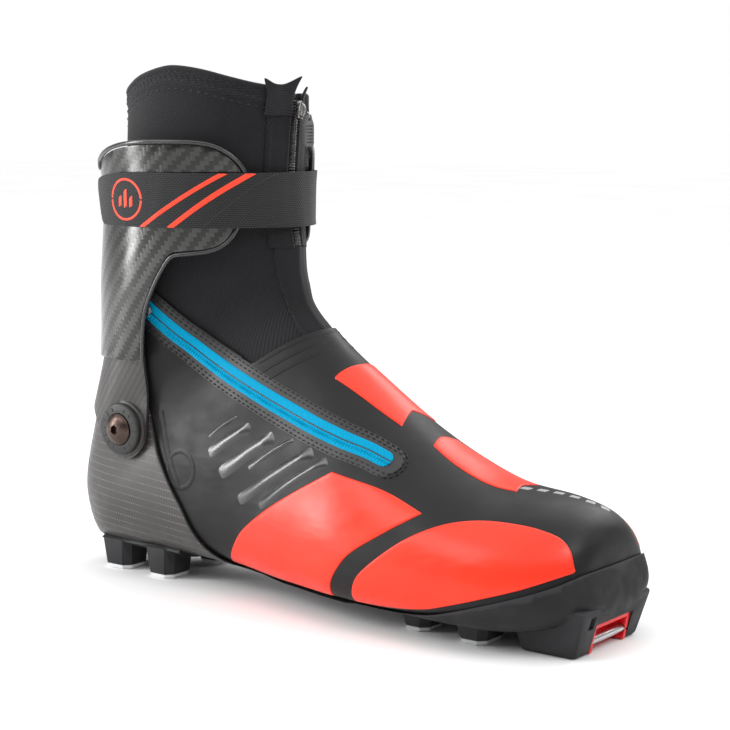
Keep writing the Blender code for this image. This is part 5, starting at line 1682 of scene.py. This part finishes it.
def build_cuff():
    edge = smooth_outline(CUFF_EDGE, step=2)
    body = slab("cuff_shell", 0.715, 1.0, cuff_inner, cuff_outer, -150, 150, level=True)
    carve(body, ("INTERSECT", prism([(-40, 203)] + edge + [(-40, 112)], -90, 90)))
    bevel(body, 0.4, 2, 50)
    finish_piece(body, TWILL, "cuff", "carbon", "carbon_cuff", smooth=50)

    skin = Skin(cuff_outer)
    runs = {}
    for side in (-1, 1):
        frames = laid([p for p in edge if p[0] > 24], skin, side)
        runs[side] = [skin.tree.find_nearest(p - across * side * 1.5)[0]
                      for p, _, _, across in frames]
    start, stop = (math.degrees(math.atan2(-run[0].y, 70 - run[0].x))
                   for run in (runs[-1], runs[1]))
    rear = [f[0] for f in ring_frames(lambda x, y: float(np.interp(x, (8, 24), (203.6, 205.0))), skin,
                                      start - 3, stop + 3)]
    route = runs[-1][::-1] + rear + runs[1]
    route = [f[0] + f[1] * 0.1 for f in frames_of(route, 1.2, skin.tree.find_nearest, skin)]
    for _ in range(3):
        route = [route[0]] + [(p + q * 2 + r) / 4 for p, q, r in zip(route, route[1:], route[2:])
                              ] + [route[-1]]
    beads = [tube("bead", route, 1.1, 10)]
    finish_piece(joined("cuff_edge_bead", beads), BEAD, "cuff", "carbon", smooth=70)

    yoke = slab("yoke_shell", 0.655, 0.95, 2.4, 4.0, -120, 120, level=True)
    shape = smooth_outline(((57, 112), (56.5, 84), (55.5, 71), (52, 66), (47, 62.5), (42, 61.5),
                            (37, 62.5), (31.5, 66), (28, 71), (22, 80), (12, 88)), step=2,
                           corner=70)
    steps = [("INTERSECT", prism([(-40, 128), (57, 128)] + shape + [(-40, 92)], -90, 90))]
    clearance = foot_solid(2.55, 0.44, 1.0)
    for side in (-1, 1):
        y = SKIN.side(*PIVOT, side)[0].y
        boss = rod((PIVOT[0], y + side * 1.0, PIVOT[1]), (PIVOT[0], y + side * 5.3, PIVOT[1]),
                   14.2, 72)
        bevel(boss, 0.7, 3)
        copy = new_object("clear", clearance.data.copy())
        carve(boss, ("DIFFERENCE", copy))
        steps.append(("UNION", boss))
    bpy.data.objects.remove(clearance, do_unlink=True)
    carve(yoke, *steps)
    bevel(yoke, 0.4, 2, 50)
    finish_piece(yoke, YOKE_CARBON, "cuff", "carbon_matte", "carbon_yoke", smooth=45)

    pad = slab("cuff_pad_cushion", 0.75, 1.0, -1.2,
               lambda p, a: cuff_inner(p, a) - 0.9 - 1.2 * np.abs(np.sin(a / 14)) ** 8, -100, 100)
    outline = [(-40, 132), (22, 132), (33, 158), (62, 168), (80, 175), (84, 196), (74, 207),
               (20, 199), (-40, 197)]
    carve(pad, ("INTERSECT", prism(outline, -90, 90)))
    bevel(pad, 1.0, 2, 50)
    finish_piece(pad, LINER, "cuff", "foam", "cuff_pad", smooth=70)


def build_pivots():
    for side, word in ((-1, "lateral"), (1, "medial")):
        face = SKIN.side(*PIVOT, side)[0].y + side * 5.3
        centre = (PIVOT[0], face, PIVOT[1])
        dial = lathe("dial_" + word, [(4.4, 0.3), (4.4, 2.2), (7.6, 2.3), (8.1, 2.8), (11.4, 2.8),
                                      (12.3, 2.5), (12.8, 1.8), (12.8, 0.3)], centre, side, 96)
        finish_piece(dial, DIAL, "boot", "dial", "pivot_dial_" + word, smooth=35)
        ticks = []
        for k in range(16):
            if k in (0, 8):
                continue
            a = 2 * math.pi * k / 16 + math.pi / 2
            long_ = 10.9 if k % 2 else 11.3
            first = (centre[0] + 9.1 * math.cos(a), face + side * 2.82,
                     centre[2] + 9.1 * math.sin(a))
            last = (centre[0] + long_ * math.cos(a), face + side * 2.82,
                    centre[2] + long_ * math.sin(a))
            ticks.append(tube("tick", [first, tuple((p + q) / 2 for p, q in zip(first, last)),
                                       last], 0.26, 8))
        finish_piece(joined("dial_ticks_" + word, ticks), MARK, "boot", "dial")
        bolt = lathe("bolt_head_" + word, [(7.7, 2.9), (7.7, 3.3), (7.2, 3.9), (6.0, 4.8),
                                           (4.6, 5.4), (3.2, 5.75), (2.0, 5.85), (0.01, 5.9)],
                     centre, side, 96)
        hexagon = rod((centre[0], face + side * 3.9, centre[2]),
                      (centre[0], face + side * 12, centre[2]), 2.5, 6)
        carve(bolt, ("DIFFERENCE", hexagon))
        shank = lathe("shank", [(2.9, 3.0), (2.9, -6.0), (0.01, -6.0)], centre, side, 48)
        finish_piece(joined("bolt_head_" + word, [bolt, shank]), BOLT, "boot", "bolt",
                     "pivot_bolt_" + word, smooth=35)
        nut = lathe("nut_" + word, [(3.05, 2.6), (3.9, 2.6), (3.9, -7.4), (7.6, -7.4),
                                    (8.0, -7.8), (8.0, -8.8), (3.05, -8.8), (3.05, 2.6)],
                    centre, side, 48)
        finish_piece(nut, STEEL, "boot", "steel", "pivot_nut_" + word)
        bush = lathe("bush_" + word, [(4.15, 0.0), (5.0, 0.0), (5.0, -2.3), (4.15, -2.3),
                                      (4.15, 0.0)], centre, side, 48)
        finish_piece(bush, NYLON, "cuff", "nylon", "pivot_bush_" + word)


def build_strap():
    low, high = STRAP_Z
    main = slab("power_strap", 0.75, 1.0, strap_at(0), strap_at(1.5), 64, 290, level=True)
    carve(main, ("INTERSECT", block((-60, -90, low), (160, 90, high))))
    bevel(main, 0.35, 2, 50)
    carve(main, ("DIFFERENCE", block((0, -90, 150), (STRAP_SPLIT + 0.03, 0, 230))))
    finish_piece(main, STRAP, "cuff", "webbing", "cuff_strap", smooth=60)
    split = STRAP_SPLIT + 2.0
    shape = [(split, low), (split, high), (60, high), (48, high - 0.5), (38, high - 1.6),
             (30, high - 3.2), (27, high - 4.2), (25.3, high - 6.0), (24.6, high - 9.0),
             (26.6, (low + high) / 2 - 1), (29.6, low + 5), (31.6, low + 2.0),
             (34.2, low + 0.4), (37.5, low)]
    tab = slab("strap_free_end", 0.75, 1.0, strap_at(0), strap_at(1.5), 30, 120, level=True)
    carve(tab, ("INTERSECT", prism(shape, -90, 0)))
    bevel(tab, 0.35, 2, 50)
    carve(tab, ("DIFFERENCE", block((STRAP_SPLIT - 0.03, -90, 150), (160, 0, 230))))
    finish_piece(tab, STRAP, "strap_end", "webbing", "strap_tab", smooth=60)

    skin = Skin(strap_at(1.5))
    cast = side_cast(skin)

    def print_film(name, polygons, body, mat, height=0.14):
        films = [patch(name, smooth_outline(p, True, 1.0, 20), cast, height, 0.25, 1.6, 0.15)
                 for p in polygons]
        finish_piece(joined(name, films), mat, body, "webbing", smooth=70)

    def slanted(x_low, x_high, wide, z_from=low + 0.15, z_to=high - 0.15):
        def at(z):
            return x_low + (x_high - x_low) * (z - low) / (high - low)
        return [(at(z_from), z_from), (at(z_from) + wide, z_from), (at(z_to) + wide, z_to),
                (at(z_to), z_to)]
    first = slanted(64.3, 103.6, 3.6)
    main_part = [p for p in first if p[0] > STRAP_SPLIT]
    cross = [(STRAP_SPLIT, z) for z in (low + 0.15 + (STRAP_SPLIT - first[1][0]) / 39.3 * 26,
                                        low + 0.15 + (STRAP_SPLIT - first[0][0]) / 39.3 * 26)]
    print_film("strap_stripes", [main_part + [(x - 0.4, z - 0.27) for x, z in cross[::-1]],
                                 slanted(79.5, 112.5, 3.7)], "cuff",
               STRIPE)
    print_film("strap_stripe_end", [[first[0], first[1]] + [(x + 0.4, z + 0.27) for x, z in cross]],
               "strap_end", STRIPE)
    print_film("strap_print_edge", [slanted(95, 120.2, 0.8)], "cuff", WELT, 0.1)
    ring = []
    centre, big = (55.5, 191.0), 10.2
    for r_out, r_in, squeeze in ((big, big - 1.2, 1.12),):
        outer = [(centre[0] + r_out * math.cos(a) * squeeze, centre[1] + r_out * math.sin(a))
                 for a in np.linspace(0, math.pi, 40)]
        inner = [(centre[0] + r_in * math.cos(a) * squeeze, centre[1] + r_in * math.sin(a))
                 for a in np.linspace(math.pi, 0, 40)]
        ring.append(outer + inner)
        ring.append([(x, 2 * centre[1] - z) for x, z in outer + inner][::-1])
    bars = []
    for k, tall in ((-1, 6.0), (0, 9.5), (1, 6.0)):
        x = centre[0] + k * 4.0
        z = centre[1] - 1.0 + (1.4 if k == 0 else 0)
        bars.append([(x - 1.1, z - tall / 2), (x + 1.1, z - tall / 2 + 1.2),
                     (x + 1.1, z + tall / 2), (x - 1.1, z + tall / 2 - 1.2)])
    films = [patch("mark", p, cast, 0.14, 0.2, 1.2, 0.15) for p in ring]
    films += [patch("mark", smooth_outline(p, True, 0.6, 20), cast, 0.14, 0.2, 1.2, 0.15)
              for p in bars]
    finish_piece(joined("strap_mark", films), STRIPE, "strap_end", "webbing", smooth=70)

    def pad_in(points, angles):
        return cuff_outer(points, angles) + 0.2
    pad = slab("hook_patch", 0.75, 1.0, pad_in, lambda p, a: cuff_outer(p, a) + 0.6, 30, 110)
    carve(pad, ("INTERSECT", prism([(30, 181), (30, 201), (60, 201), (60, 181)], -90, 0)))
    finish_piece(pad, HOOK, "cuff", "fastener", "strap_hook_pad")

    for k, z in enumerate((185.0, 197.0)):
        at, normal = skin.side(68.0, z, 1)
        rivet = lathe("rivet", [(4.0, 0.35), (4.0, 0.9), (3.5, 1.5), (2.4, 1.85), (1.2, 1.9),
                                (0.9, 1.5), (0.01, 1.45)], (0, 0, 0), 1, 48)
        turn = Vector((0, 1, 0)).rotation_difference(normal).to_matrix().to_4x4()
        rivet.data.transform(Matrix.Translation(at) @ turn)
        rivet.name = "rivet_%d" % (k + 1)
        finish_piece(rivet, ZIP_METAL, "cuff", "zip_metal", "strap_rivet_%d" % (k + 1))


def build_side_slider():
    a, n = SKIN.side(58.5, 137.9)
    b, m = SKIN.side(67.0, 131.0)
    along = (b - a).normalized()
    normal = (n + m).normalized()
    across = normal.cross(along).normalized()
    normal = along.cross(across).normalized()
    turn = Matrix((along, across, normal)).transposed().to_4x4()
    shape = smooth_outline(((-4, -1.4), (-2.4, -2.9), (2.2, -2.9), (4, -1.6), (4, 1.6), (2.2, 2.9),
                            (-2.4, 2.9), (-4, 1.4)), True, 0.8, 50)
    body = prism(shape, 2.3, 2.95, "z")
    bevel(body, 0.2, 2)
    body.data.transform(Matrix.Translation(a) @ turn)
    body.name = "side_slider_body"
    finish_piece(body, ZIP_METAL, "side_slider", "zip_metal", "side_zip_slider")


build_stage()
build_sole()
build_chassis()
build_inside()
build_upper()
build_panels()
build_side_zip()
build_gaiter()
build_front_zip()
build_cuff()
build_pivots()
build_strap()
build_side_slider()
